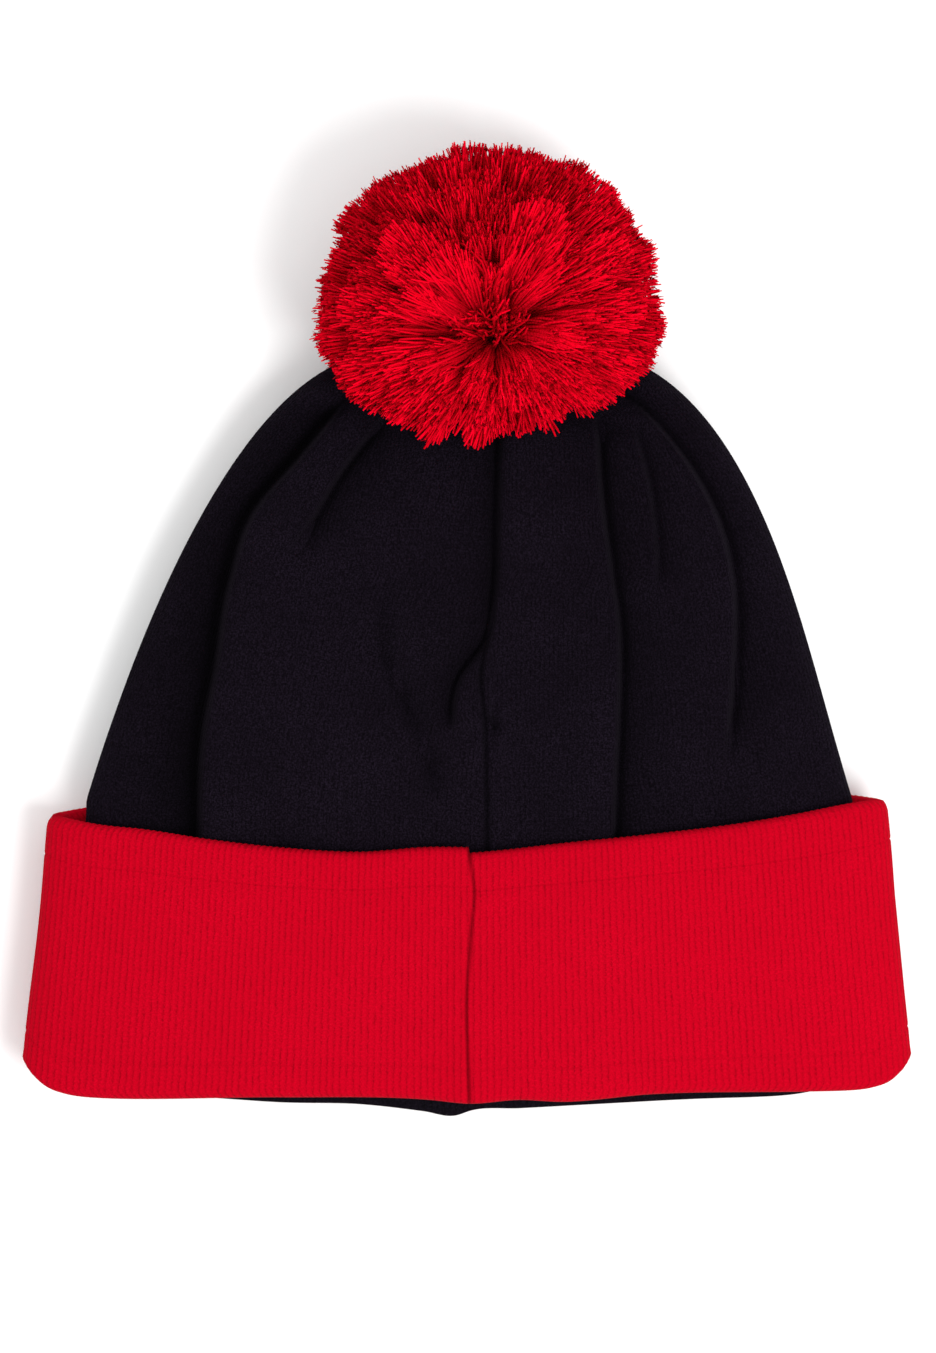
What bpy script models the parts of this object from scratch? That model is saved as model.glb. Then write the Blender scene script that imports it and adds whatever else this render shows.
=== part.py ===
"""Knitted pom pom beanie with a turned-up cuff, lying flat on its front with the back seam up.

Metres, +Z up.  The origin is the middle of the bottom of the bounding box: +Y runs from the
folded hem to the pom-pom, +X is the wearer's right, and +Z is the back of the hat.
The hat is a stack of knitted layers pressed nearly flat.  Seen along Y each layer is a
superellipse: wide in X, thin in Z, and flat where it would pass below the table.
"""
import math

import bmesh
import bpy

# Knitted body: stations run from the hem, past the cuff's rim (0), to the gathered tip (1).
HEM_Y = -0.1262
RIM_Y = -0.0464
TIP_Y = 0.0773
BODY_RIM_HALF_WIDTH = 0.1035
BODY_HEM_HALF_WIDTH = 0.1070
BODY_HEM_HALF_DEPTH = 0.0108
BODY_CROWN_HALF_DEPTH = 0.0150
BODY_HEM_CENTRE_Z = 0.0160
BODY_CROWN_CENTRE_Z = 0.0148
BODY_RIM_CENTRE_X = 0.0005
BODY_TIP_CENTRE_X = 0.0055
TIP_HOLE_RADIUS = 0.0040
CROWN_NARROWING = 0.363         # share of the width lost in a straight taper
FLATNESS = 3.2                  # superellipse power of a pressed layer

# Layers, measured inwards from the outer face of the body.
SHELL_THICKNESS = 0.0018
LINING_INSET = 0.0030
LINING_THICKNESS = 0.0015
SHELL_FAR_HEM_LEAD = 0.0016     # how much further the hem of the lower wall reaches
LINING_FAR_HEM_LEAD = 0.0052

# Cuff: a band folded double at its rim, both edges linked to the hem.
CUFF_FOLD_Y = -0.1272
CUFF_FOLD_HALF_WIDTH = 0.1200
CUFF_RIM_HALF_WIDTH = 0.1130
CUFF_INNER_HALF_WIDTH = 0.1082
CUFF_HALF_DEPTH = 0.0165
CUFF_INNER_HALF_DEPTH = 0.0112
CUFF_LEAF = 0.0018
CUFF_SIDE_RIM_Y = -0.0485
CUFF_RIM_TILT = 0.0020
CUFF_RIM_DIP = 0.0115
CUFF_CORNER_RISE = 0.0090
CUFF_FAR_FOLD_LEAD = 0.0022
CUFF_SLIT_TOP = 0.93            # share of the cuff's height that the slit between its leaves reaches

# Pom-pom, its tie and its knot.
PIVOT = (BODY_TIP_CENTRE_X, 0.0750, BODY_CROWN_CENTRE_Z)
POM_CENTRE = (0.0060, 0.0920, 0.0400)
POM_RADII = (0.0460, 0.0395, 0.0397)
POM_NOD_LIMIT = math.radians(15)
POCKET_CEILING_Z = 0.0305
POCKET_APEX_Y = 0.0870
POCKET_EDGE_ANGLE = math.radians(65)
STEM_X, STEM_Y = 0.0065, 0.0800
STEM_RADIUS = 0.0013
BINDING_RADIUS = 0.0048
CHANNEL_RADIUS = 0.0070
KNOT_Y = 0.0662
KNOT_RADII = (0.0055, 0.0042, 0.0032)

# Threads, seams and the sewn-in label.
THREAD_RADIUS = 0.0003
GATHER_RING_RADIUS = 0.00325
SEAM_START_Y, SEAM_END_Y = -0.1220, 0.0560
SEAM_ALLOWANCE_WIDTH = 0.0044
SEAM_ALLOWANCE_THICKNESS = 0.0006
CUFF_SEAM_WIDTH = 0.0070
CUFF_SEAM_THICKNESS = 0.0010
CUFF_SEAM_Z = 0.02985
LABEL_WIDTH = 0.0220
LABEL_LENGTH = 0.0300
LABEL_LEAF = 0.0004
LABEL_X = 0.0300
LABEL_TOP_Z = 0.0219
LABEL_HEM_MARGIN = 0.0100
CLEARANCE = 0.0003

SEGMENTS = 40
STATIONS = (-0.645, -0.40, -0.15, 0.01, 0.07, 0.13, 0.19, 0.25, 0.40, 0.55,
            0.68, 0.78, 0.86, 0.92, 0.96, 0.985, 1.0)

BLACK_KNIT = ("black_knit", (0.006, 0.004, 0.008, 1.0), 0.95)
BLACK_LINING = ("black_lining", (0.007, 0.005, 0.008, 1.0), 0.95)
RED_KNIT = ("red_knit", (0.66, 0.002, 0.012, 1.0), 0.90)
RED_YARN = ("red_yarn", (0.70, 0.002, 0.014, 1.0), 0.85)
BLACK_THREAD = ("black_thread", (0.010, 0.008, 0.012, 1.0), 0.80)
RED_THREAD = ("red_thread", (0.60, 0.003, 0.012, 1.0), 0.80)
WHITE_TAPE = ("white_tape", (0.80, 0.80, 0.78, 1.0), 0.60)


def clear_scene():
    for old in list(bpy.data.objects):
        bpy.data.objects.remove(old, do_unlink=True)


def finish_material(name, colour, roughness):
    material = bpy.data.materials.get(name) or bpy.data.materials.new(name)
    material.use_nodes = True
    shader = material.node_tree.nodes["Principled BSDF"]
    shader.inputs["Base Color"].default_value = colour
    shader.inputs["Roughness"].default_value = roughness
    shader.inputs["Metallic"].default_value = 0.0
    return material


def add_object(name, mesh_data, finish, sharp_angle=40):
    """Make one named object from a bmesh, with its faces pointing out and its round parts smooth."""
    bmesh.ops.recalc_face_normals(mesh_data, faces=mesh_data.faces)
    mesh = bpy.data.meshes.new(name)
    mesh_data.to_mesh(mesh)
    mesh_data.free()
    mesh.shade_smooth()
    mesh.set_sharp_from_angle(angle=math.radians(sharp_angle))
    mesh.materials.append(finish_material(*finish))
    piece = bpy.data.objects.new(name, mesh)
    bpy.context.scene.collection.objects.link(piece)
    return piece


def place_origin(piece, point):
    """Move a piece's origin to its joint's pivot without moving its surface."""
    for vertex in piece.data.vertices:
        vertex.co = [value - shift for value, shift in zip(vertex.co, point)]
    piece.location = point


def loft(rings, closed):
    """Skin a list of equal rings; the last ring joins the first, or both ends get a cap."""
    mesh_data = bmesh.new()
    rows = [[mesh_data.verts.new(point) for point in ring] for ring in rings]
    pairs = list(zip(rows, rows[1:]))
    if closed:
        pairs.append((rows[-1], rows[0]))
    for row, next_row in pairs:
        for k in range(len(row)):
            after = (k + 1) % len(row)
            mesh_data.faces.new((row[k], row[after], next_row[after], next_row[k]))
    if not closed:
        mesh_data.faces.new(rows[0])
        mesh_data.faces.new(rows[-1])
    return mesh_data


def smooth_step(value):
    value = min(max(value, 0.0), 1.0)
    return value * value * (3 - 2 * value)


def section(half_width, half_depth, power):
    """Yield (x, z, sine) round one superellipse; x and z are shares of its half sizes."""
    for k in range(SEGMENTS):
        angle = 2 * math.pi * k / SEGMENTS
        cosine, sine = math.cos(angle), math.sin(angle)
        x = math.copysign(abs(cosine) ** (2 / power), cosine)
        z = math.copysign(abs(sine) ** (2 / power), sine)
        yield x * half_width, z * half_depth, sine


# ---------------------------------------------------------------- knitted body

def body_half_width(station):
    if station <= 0:
        return BODY_RIM_HALF_WIDTH + (BODY_HEM_HALF_WIDTH - BODY_RIM_HALF_WIDTH) * smooth_step(-station / 0.3)
    return BODY_RIM_HALF_WIDTH * (1 - CROWN_NARROWING * station) * (1 - station ** 3.58) ** 0.27


def body_half_depth(station, inset):
    swell = smooth_step((station - 0.01) / 0.24)
    depth = BODY_HEM_HALF_DEPTH + (BODY_CROWN_HALF_DEPTH - BODY_HEM_HALF_DEPTH) * swell
    taper = (1 - max(station, 0.0) ** 12) ** 0.5
    return (depth - inset) * taper


def body_centre(station):
    sink = smooth_step((station - 0.01) / 0.24)
    x = BODY_RIM_CENTRE_X + (BODY_TIP_CENTRE_X - BODY_RIM_CENTRE_X) * smooth_step(station)
    z = BODY_HEM_CENTRE_Z + (BODY_CROWN_CENTRE_Z - BODY_HEM_CENTRE_Z) * sink
    return x, z


def body_y(station, inset):
    """Inner layers end sooner at the tip, so that they keep their distance there too."""
    reach = TIP_Y - RIM_Y - (inset if station > 0 else 0.0)
    return RIM_Y + station * reach


def body_ring(station, inset, far_hem_lead=0.0):
    centre_x, centre_z = body_centre(station)
    half_width = max(body_half_width(station) - inset, TIP_HOLE_RADIUS)
    half_depth = max(body_half_depth(station, inset), TIP_HOLE_RADIUS)
    power = FLATNESS + (2 - FLATNESS) * smooth_step((station - 0.9) / 0.1)
    hem_share = smooth_step((-station - 0.3) / 0.345)
    y = body_y(station, inset)
    ring = []
    for x, z, sine in section(half_width, half_depth, power):
        lead = far_hem_lead * hem_share * smooth_step(0.5 - 0.5 * sine)
        ring.append((centre_x + x, y - lead, max(centre_z + z, inset)))
    return ring


def knitted_layer(name, inset, thickness, far_hem_lead, finish):
    """One tube of knitting: open at the hem, drawn in to a small hole at the tip."""
    outside = [body_ring(station, inset, far_hem_lead) for station in STATIONS]
    inside = [body_ring(station, inset + thickness, far_hem_lead) for station in STATIONS]
    return add_object(name, loft(outside + inside[::-1], closed=True), finish)


def seam_allowance(name, side, finish):
    """Flat overlocked seam allowance, lying between shell and lining on one side of centre back."""
    inset = (SHELL_THICKNESS + LINING_INSET) / 2
    half = SEAM_ALLOWANCE_THICKNESS / 2
    inner_edge, outer_edge = side * 0.0008, side * (0.0008 + SEAM_ALLOWANCE_WIDTH)
    start = (SEAM_START_Y - RIM_Y) / (TIP_Y - RIM_Y)
    end = (SEAM_END_Y - RIM_Y) / (TIP_Y - inset - RIM_Y)
    stations = [start] + [s for s in STATIONS if start < s < end] + [end]
    rings = []
    for station in stations:
        centre_x, centre_z = body_centre(station)
        top = centre_z + body_half_depth(station, inset)
        y = body_y(station, inset)
        rings.append([(centre_x + inner_edge, y, top - half), (centre_x + outer_edge, y, top - half),
                      (centre_x + outer_edge, y, top + half), (centre_x + inner_edge, y, top + half)])
    return add_object(name, loft(rings, closed=False), finish)


def hem_thread():
    """The linking thread that closes shell to lining, a loop lying in the gap at the hem."""
    middle = (SHELL_THICKNESS + LINING_INSET) / 2
    rings = []
    for k in range(6):
        angle = 2 * math.pi * k / 6
        inset = middle + THREAD_RADIUS * math.cos(angle)
        lift = THREAD_RADIUS * math.sin(angle)
        ring = body_ring(STATIONS[0] + 0.02, inset, SHELL_FAR_HEM_LEAD)
        rings.append([(x, y + lift, z) for x, y, z in ring])
    return add_object("hem_linking_thread", loft(rings, closed=True), BLACK_THREAD)


def gather_thread(name, y):
    """A drawn loop of thread lying in the throat of the tip hole."""
    centre_x, centre_z = body_centre(1.0)
    rings = []
    for k in range(24):
        around = 2 * math.pi * k / 24
        ring = []
        for j in range(6):
            angle = 2 * math.pi * j / 6
            radius = GATHER_RING_RADIUS + THREAD_RADIUS * math.cos(angle)
            ring.append((centre_x + radius * math.cos(around), y + THREAD_RADIUS * math.sin(angle),
                         centre_z + radius * math.sin(around)))
        rings.append(ring)
    return add_object(name, loft(rings, closed=True), BLACK_THREAD)


# ---------------------------------------------------------------- cuff

def cuff_fold_y(share, sine):
    """The folded edge: straight, with rounded corners, a little further out on the lower wall."""
    far = smooth_step(0.5 - 0.5 * sine)
    return CUFF_FOLD_Y + CUFF_CORNER_RISE * share ** 20 - CUFF_FAR_FOLD_LEAD * far * (1 - share ** 20)


def cuff_rim_y(share, sine):
    """The rim: it dips along the upper wall and rises slightly to the wearer's right."""
    dip = CUFF_RIM_DIP * (1 - share ** 2) if sine > 0 else 0.0
    return CUFF_SIDE_RIM_Y + CUFF_RIM_TILT * share - dip


def cuff_ring(height, half_width, half_depth, floor):
    ring = []
    for x, z, sine in section(half_width, half_depth, FLATNESS):
        share = x / half_width
        y = cuff_fold_y(share, sine) * (1 - height) + cuff_rim_y(share, sine) * height
        ring.append((x, y, max(BODY_HEM_CENTRE_Z + z, floor)))
    return ring


def cuff_outer_half_width(height):
    return CUFF_FOLD_HALF_WIDTH + (CUFF_RIM_HALF_WIDTH - CUFF_FOLD_HALF_WIDTH) * height


def cuff_band():
    """Two leaves joined by a rounded rim, with an open slit between them along the folded edge."""
    heights = (0.0, 0.03, 0.35, 0.68, 0.95)
    outside = [cuff_ring(h, cuff_outer_half_width(h) - (0.0006 if h == 0 else 0), CUFF_HALF_DEPTH, 0.0)
               for h in heights]
    middle_width = (CUFF_RIM_HALF_WIDTH + CUFF_INNER_HALF_WIDTH) / 2
    middle_depth = (CUFF_HALF_DEPTH + CUFF_INNER_HALF_DEPTH) / 2
    rim = [cuff_ring(0.985, CUFF_RIM_HALF_WIDTH - 0.0008, CUFF_HALF_DEPTH - 0.0008, 0.0008),
           cuff_ring(1.0, middle_width, middle_depth, 0.0026),
           cuff_ring(0.985, CUFF_INNER_HALF_WIDTH + 0.0008, CUFF_INNER_HALF_DEPTH + 0.0008, 0.0040)]
    inside = [cuff_ring(h, CUFF_INNER_HALF_WIDTH, CUFF_INNER_HALF_DEPTH, 0.0) for h in heights]
    slit_heights = (0.0, 0.35, 0.68, CUFF_SLIT_TOP)
    slit_inner = [cuff_ring(h, CUFF_INNER_HALF_WIDTH + CUFF_LEAF, CUFF_INNER_HALF_DEPTH + CUFF_LEAF, 0.0)
                  for h in slit_heights]
    slit_outer = [cuff_ring(h, cuff_outer_half_width(h) - CUFF_LEAF, CUFF_HALF_DEPTH - CUFF_LEAF, CUFF_LEAF)
                  for h in slit_heights]
    rings = outside + rim + inside[::-1] + slit_inner + slit_outer[::-1]
    return add_object("cuff_band", loft(rings, closed=True), RED_KNIT)


def cuff_seam():
    """The cuff's own back seam allowance, inside the slit between its two leaves."""
    half_width, half = CUFF_SEAM_WIDTH / 2, CUFF_SEAM_THICKNESS / 2
    rings = []
    for y in (CUFF_FOLD_Y + 0.0035, CUFF_SIDE_RIM_Y - CUFF_RIM_DIP - 0.0085):
        rings.append([(-half_width, y, CUFF_SEAM_Z - half), (half_width, y, CUFF_SEAM_Z - half),
                      (half_width, y, CUFF_SEAM_Z + half), (-half_width, y, CUFF_SEAM_Z + half)])
    return add_object("cuff_back_seam", loft(rings, closed=False), RED_THREAD)


# ---------------------------------------------------------------- pom-pom

def add_cutter(name, mesh_data):
    cutter = add_object(name, mesh_data, RED_YARN)
    cutter.hide_render = True
    cutter.display_type = "WIRE"
    return cutter


def pocket_cutter():
    """A wedge that frees the tip of the crown; its ceiling slopes so that the pom can nod."""
    slope = math.tan(POM_NOD_LIMIT)
    apex_x, pivot_y = POM_CENTRE[0], PIVOT[1]
    far = 0.060
    side_drop = far / math.tan(POCKET_EDGE_ANGLE)
    corners = ((apex_x, POCKET_APEX_Y), (apex_x - far, POCKET_APEX_Y + side_drop),
               (apex_x - far, 0.0400), (apex_x + far, 0.0400), (apex_x + far, POCKET_APEX_Y + side_drop))
    floor = [(x, y, -0.0100) for x, y in corners]
    ceiling = [(x, y, POCKET_CEILING_Z + slope * max(pivot_y - y, 0.0)) for x, y in corners]
    return add_cutter("pocket_cutter", loft([floor, ceiling], closed=False))


def channel_cutter():
    """A round well for the binding of the tie cord, open into the pocket below it."""
    rings = []
    for z in (POCKET_CEILING_Z - 0.0060, 0.0440):
        rings.append([(STEM_X + CHANNEL_RADIUS * math.cos(2 * math.pi * k / 20),
                       STEM_Y + CHANNEL_RADIUS * math.sin(2 * math.pi * k / 20), z) for k in range(20)])
    return add_cutter("channel_cutter", loft(rings, closed=False))


def cut(piece, cutter):
    modifier = piece.modifiers.new(cutter.name, "BOOLEAN")
    modifier.operation = "DIFFERENCE"
    modifier.object = cutter


def pom_yarn_ball():
    """The envelope of the cut yarn, with room for the crown's tip and for the tie cord."""
    mesh_data = bmesh.new()
    bmesh.ops.create_uvsphere(mesh_data, u_segments=36, v_segments=20, radius=1.0)
    for vertex in mesh_data.verts:
        vertex.co = [centre + radius * value
                     for centre, radius, value in zip(POM_CENTRE, POM_RADII, vertex.co)]
    ball = add_object("pom_yarn_ball", mesh_data, RED_YARN)
    place_origin(ball, PIVOT)
    cut(ball, pocket_cutter())
    cut(ball, channel_cutter())
    return ball


def pom_tie_cord():
    """The cord that leaves the tip hole, turns up into the pom and ends in the binding coils."""
    route = ((PIVOT[0], PIVOT[1] - 0.0024, PIVOT[2], STEM_RADIUS, 0),
             (PIVOT[0], PIVOT[1] + 0.0024, PIVOT[2], STEM_RADIUS, 0),
             (PIVOT[0] + 0.0005, PIVOT[1] + 0.0048, PIVOT[2] + 0.0022, STEM_RADIUS, 45),
             (STEM_X, STEM_Y, PIVOT[2] + 0.0080, STEM_RADIUS, 90),
             (STEM_X, STEM_Y, 0.0330, STEM_RADIUS, 90),
             (STEM_X, STEM_Y, 0.0345, BINDING_RADIUS * 0.8, 90),
             (STEM_X, STEM_Y, 0.0365, BINDING_RADIUS, 90),
             (STEM_X, STEM_Y, 0.0385, BINDING_RADIUS * 0.8, 90),
             (STEM_X, STEM_Y, 0.0395, STEM_RADIUS, 90))
    rings = []
    for x, y, z, radius, pitch_degrees in route:
        pitch = math.radians(pitch_degrees)
        ring = []
        for k in range(14):
            angle = 2 * math.pi * k / 14
            across, up = radius * math.cos(angle), radius * math.sin(angle)
            ring.append((x + across, y - up * math.sin(pitch), z + up * math.cos(pitch)))
        rings.append(ring)
    cord = add_object("pom_tie_cord", loft(rings, closed=False), RED_THREAD)
    place_origin(cord, PIVOT)
    return cord


def pom_anchor_knot():
    """The knot that stops the tie cord from pulling out through the tip hole."""
    mesh_data = bmesh.new()
    bmesh.ops.create_uvsphere(mesh_data, u_segments=20, v_segments=12, radius=1.0)
    centre = (PIVOT[0], KNOT_Y, PIVOT[2])
    for vertex in mesh_data.verts:
        vertex.co = [c + r * value for c, r, value in zip(centre, KNOT_RADII, vertex.co)]
    knot = add_object("pom_anchor_knot", mesh_data, RED_THREAD)
    place_origin(knot, PIVOT)
    return knot


# ---------------------------------------------------------------- label

def care_label():
    """A blank tape folded in two, hanging inside the upper wall beside the back seam."""
    left, right = LABEL_X, LABEL_X + LABEL_WIDTH
    near = HEM_Y + LABEL_HEM_MARGIN
    tip = near + LABEL_LENGTH
    top, bottom = LABEL_TOP_Z, LABEL_TOP_Z - 3 * LABEL_LEAF
    outline = ((near, top), (tip, top), (tip, bottom), (near, bottom), (near, bottom + LABEL_LEAF),
               (tip - LABEL_LEAF, bottom + LABEL_LEAF), (tip - LABEL_LEAF, top - LABEL_LEAF),
               (near, top - LABEL_LEAF))
    rings = [[(x, y, z) for y, z in outline] for x in (left, right)]
    return add_object("care_label", loft(rings, closed=False), WHITE_TAPE)


def label_stitch():
    """The tack of thread along the label's sewn edge."""
    y = HEM_Y + LABEL_HEM_MARGIN - CLEARANCE - THREAD_RADIUS
    z = LABEL_TOP_Z - 0.0003
    rings = []
    for x in (LABEL_X + 0.0010, LABEL_X + LABEL_WIDTH - 0.0010):
        rings.append([(x, y + THREAD_RADIUS * math.cos(2 * math.pi * k / 8),
                       z + THREAD_RADIUS * math.sin(2 * math.pi * k / 8)) for k in range(8)])
    return add_object("label_stitch", loft(rings, closed=False), BLACK_THREAD)


def build():
    clear_scene()
    knitted_layer("crown_shell", 0.0, SHELL_THICKNESS, SHELL_FAR_HEM_LEAD, BLACK_KNIT)
    knitted_layer("lining_shell", LINING_INSET, LINING_THICKNESS, LINING_FAR_HEM_LEAD, BLACK_LINING)
    seam_allowance("shell_back_seam", -1, BLACK_THREAD)
    seam_allowance("lining_back_seam", 1, BLACK_THREAD)
    hem_thread()
    gather_thread("shell_gather_thread", TIP_Y - SHELL_THICKNESS / 2)
    gather_thread("lining_gather_thread", TIP_Y - LINING_INSET - LINING_THICKNESS / 2)
    cuff_band()
    cuff_seam()
    pom_yarn_ball()
    pom_tie_cord()
    pom_anchor_knot()
    care_label()
    label_stitch()


build()
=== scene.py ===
"""The looks of the pom pom beanie: knitted crown, lining and cuff, cut-yarn pom-pom, stage and light."""
import math

import bpy
import numpy as np
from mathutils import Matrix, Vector


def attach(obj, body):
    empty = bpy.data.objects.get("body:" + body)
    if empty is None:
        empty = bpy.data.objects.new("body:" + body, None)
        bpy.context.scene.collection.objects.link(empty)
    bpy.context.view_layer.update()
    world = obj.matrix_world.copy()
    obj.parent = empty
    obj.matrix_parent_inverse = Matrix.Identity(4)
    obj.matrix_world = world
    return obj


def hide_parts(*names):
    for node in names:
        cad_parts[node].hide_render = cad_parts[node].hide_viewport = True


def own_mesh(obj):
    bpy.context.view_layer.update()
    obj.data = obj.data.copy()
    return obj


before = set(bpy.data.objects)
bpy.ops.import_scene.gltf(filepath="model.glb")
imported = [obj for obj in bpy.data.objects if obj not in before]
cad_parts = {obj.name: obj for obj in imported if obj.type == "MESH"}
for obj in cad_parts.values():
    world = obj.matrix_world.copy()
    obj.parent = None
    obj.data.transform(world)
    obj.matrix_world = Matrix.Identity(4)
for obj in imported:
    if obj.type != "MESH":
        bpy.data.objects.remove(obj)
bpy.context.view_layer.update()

MM = 0.001


def places(*points):
    """(x, y) points given in millimetres, as metres without a rounding error."""
    return tuple((round(x * MM, 7), round(y * MM, 7)) for x, y in points)


# -------- sizes of the hat, in metres
HEM_Y, RIM_Y, TIP_Y = -0.1262, -0.0464, 0.0773
BODY_RIM_HALF_WIDTH, BODY_HEM_HALF_WIDTH = 0.1035, 0.1070
BODY_HEM_HALF_DEPTH, BODY_CROWN_HALF_DEPTH = 0.0108, 0.0150
BODY_HEM_CENTRE_Z, BODY_CROWN_CENTRE_Z = 0.0160, 0.0148
BODY_RIM_CENTRE_X, BODY_TIP_CENTRE_X = 0.0005, 0.0055
TIP_HOLE_RADIUS = 0.0040
CROWN_NARROWING = 0.363
DOME_POWER, DOME_ROOT = 3.58, 0.27
FLATNESS, TIP_THINNING = 3.2, 12
# Stations run from the rim (0) to the tip (1): where the body widens, swells, gets round and meets the hem.
WIDENING_RUN = 0.3
SWELL_START, SWELL_RUN = 0.01, 0.24
ROUND_START, ROUND_RUN = 0.9, 0.1
SMOOTH_TIP_START, SMOOTH_TIP_RUN = 0.93, 0.06
HEM_SHIFT_START, HEM_SHIFT_RUN = 0.3, 0.345
# Cloth taken in by folds: how much wider than the hat the flat wall is, what share the folds get, how wide.
FOLD_SPARE, FOLD_SHARE, FOLD_WIDTH, SEAM_FOLD_SHARE = 0.012, 0.75, 2.2 * MM, 0.5
# SHADE_TURN: how quickly a crease's painted shade sets in on its lower side.
CREASE_TURN, CREST_AWAY, SHADE_TURN = 2.4 * MM, 3 * MM, 2.2 * MM
SHELL_THICKNESS = 0.0018
LINING_INSET, LINING_THICKNESS = 0.0030, 0.0015
HEM_STATION = (HEM_Y - RIM_Y) / (TIP_Y - RIM_Y)

CUFF_FOLD_HALF_WIDTH, CUFF_RIM_HALF_WIDTH, CUFF_INNER_HALF_WIDTH = 0.1200, 0.1130, 0.1082
CUFF_HALF_DEPTH, CUFF_INNER_HALF_DEPTH = 0.0165, 0.0112
CUFF_LEAF = 0.0018
CUFF_CORNER_RISE, CUFF_CORNER_SHARPNESS = 0.0075, 30
CUFF_DEPTH = 0.072
# The two knitted-in lines, as shares of the cuff's height, and how they and the seam sink; the seam also gets
# painted shade.
CUFF_LINES, CUFF_LINE_DEPTH, CUFF_LINE_WIDTH = (0.135, 0.850), 0.25 * MM, 0.004
CUFF_SEAM_DEPTH, CUFF_SEAM_WIDTH, CUFF_SEAM_SHADE = 0.8 * MM, 0.45 * MM, 0.65
CUFF_SEAM_LIP, CUFF_LIP_AWAY, CUFF_LIP_WIDTH = 0.35 * MM, 2.2 * MM, 1.6 * MM
RIM_LOOP = 0.12 * MM
CUFF_SEAM_X = 0.0003
CUFF_SEAM = places((0.5, -129), (0, -115), (-0.3, -100), (0.9, -81.6), (1.8, -70.5), (0.3, -59.4),
    (0.3, -50))

# Edges as the hat lies: y along x for the cuff's rim and fold on the upper wall, left and right of
# the back seam, and for the lining's edge where the lower wall peeks out below the fold.
RIM_LEFT = places((-113, -50.8), (-102.2, -52.9), (-88.6, -54.3), (-72.4, -56.7), (-50.7, -59.1),
    (-29.1, -60.2), (-10.1, -58.9), (1, -59))
RIM_RIGHT = places((-1, -60.6), (7, -60), (25, -58), (49.4, -55.6), (76.4, -52.4), (90, -50.2),
    (106, -47.2), (113, -46.2))
FOLD_LINE = places((-120, -125.7), (-96, -126.6), (-50, -126.1), (-10, -126.8), (0, -127.8), (14, -126.8),
    (25, -127.3), (49, -125.3), (90, -124.7), (120, -124.5))
LOWER_HEM = places((-108, -126.2), (-72, -127.2), (-50, -128.6), (-29, -129.1), (-12, -131),
    (-3.4, -132.2), (1, -130.8), (14, -130.2), (36, -129), (63, -127.6), (90, -126.9), (108, -126.2))
FAR_RIM = places((-113, -50), (-106, -48.8), (-60, -48.5), (60, -46.5), (108, -45.5), (113, -46.2))

# Knitting: wales run along Y, courses run round the hat.
BODY_WALES, BODY_WALE_STEPS = 340, 3
LINING_WALES, LINING_WALE_STEPS = 240, 2
CUFF_WALES, CUFF_WALE_STEPS = 280, 6
COURSE = 0.0013
BODY_WALE_RELIEF = 0.00014
CUFF_WALE_RELIEF = 0.00009


def crease(side, rise, drop, reach, fade, gorge, shade, points):
    """One crease through (x, y) points from the tip towards the hem, all lengths in millimetres.

    side: +1 the right side lies on top, -1 the left side does.  rise and drop: how far the upper side
    stands up and the lower side sinks.  reach: how wide those two are.  fade: how long it takes to die
    out at its two ends.  gorge: depth and width of the slot.  shade: how much painted shade darkens it.
    """
    return dict(side=side, rise=rise * MM, drop=drop * MM, shade=shade, points=places(*points),
                reach=[value * MM for value in reach], fade=[value * MM for value in fade],
                gorge=[value * MM for value in gorge])


# Creases of the upper wall.
CREASES = {
    "left_roll": crease(
        side=1, rise=2.2, drop=3.4, reach=(15, 12), fade=(8, 20), gorge=(2.6, 2.4), shade=0.96,
        points=((-30.4, 64), (-45.3, 45.6), (-57, 32.1), (-63.7, 13.1), (-68.3, -13.9), (-71, -27.5),
            (-72.4, -64), (-72.8, -84))),
    "left_tuck": crease(
        side=-1, rise=1.5, drop=2.0, reach=(7, 7), fade=(8, 9), gorge=(1.5, 1.3), shade=0.70,
        points=((-20, 60), (-34.5, 41.5), (-42.6, 28), (-50, 17))),
    "back_seam_upper": crease(
        side=1, rise=1.0, drop=2.4, reach=(9, 6), fade=(8, 7), gorge=(2.2, 1.1), shade=0.62,
        points=((9, 64), (8, 29.4), (7.4, 10.4), (5.3, -3.1), (-2, -13.9), (-4, -29))),
    "right_pleat": crease(
        side=-1, rise=1.7, drop=2.2, reach=(14, 7), fade=(8, 20), gorge=(2.4, 1.2), shade=0.66,
        points=((34.5, 60), (35.9, 36.1), (38.6, 15.8), (40.5, 2.3), (40.5, -24.8), (39.9, -38.3),
            (39.1, -62), (38.6, -83))),
    "outer_pleat": crease(
        side=-1, rise=1.8, drop=2.4, reach=(14, 8), fade=(6, 18), gorge=(2.2, 1.3), shade=0.50,
        points=((40, 66), (52.1, 53.7), (62.9, 38.8), (68.9, 25.3), (71.6, 11.8), (71.6, -11.2),
            (69, -40))),
    "short_pleat": crease(
        side=-1, rise=1.0, drop=1.5, reach=(7, 6), fade=(7, 10), gorge=(1.2, 1.2), shade=0.45,
        points=((44, 57), (49.4, 34.8), (50.7, 22.6), (50.8, 8))),
}
BACK_SEAM = places((9, 70), (8, 29.4), (7.4, 10.4), (5.3, -3.1), (3.6, -11), (4.7, -24.8), (5, -38.3),
    (5, -130))
SOFT_VALLEY = places((-20.5, 15), (-21.8, -5.8), (-16.9, -18), (-10.1, -35.6), (-7.4, -48))
# Each *_SHADE number below is how much painted shade darkens the knit's colour there.
SEAM_GROOVE_DEPTH, SEAM_GROOVE_WIDTH, SEAM_SHADE = 1.3 * MM, 0.8 * MM, 0.60
SEAM_SWELL, SEAM_SWELL_WIDTH = 0.5 * MM, 4 * MM
VALLEY_FADE, VALLEY_DEPTH, VALLEY_WIDTH = (16 * MM, 12 * MM), 2.8 * MM, 4.0 * MM
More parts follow.
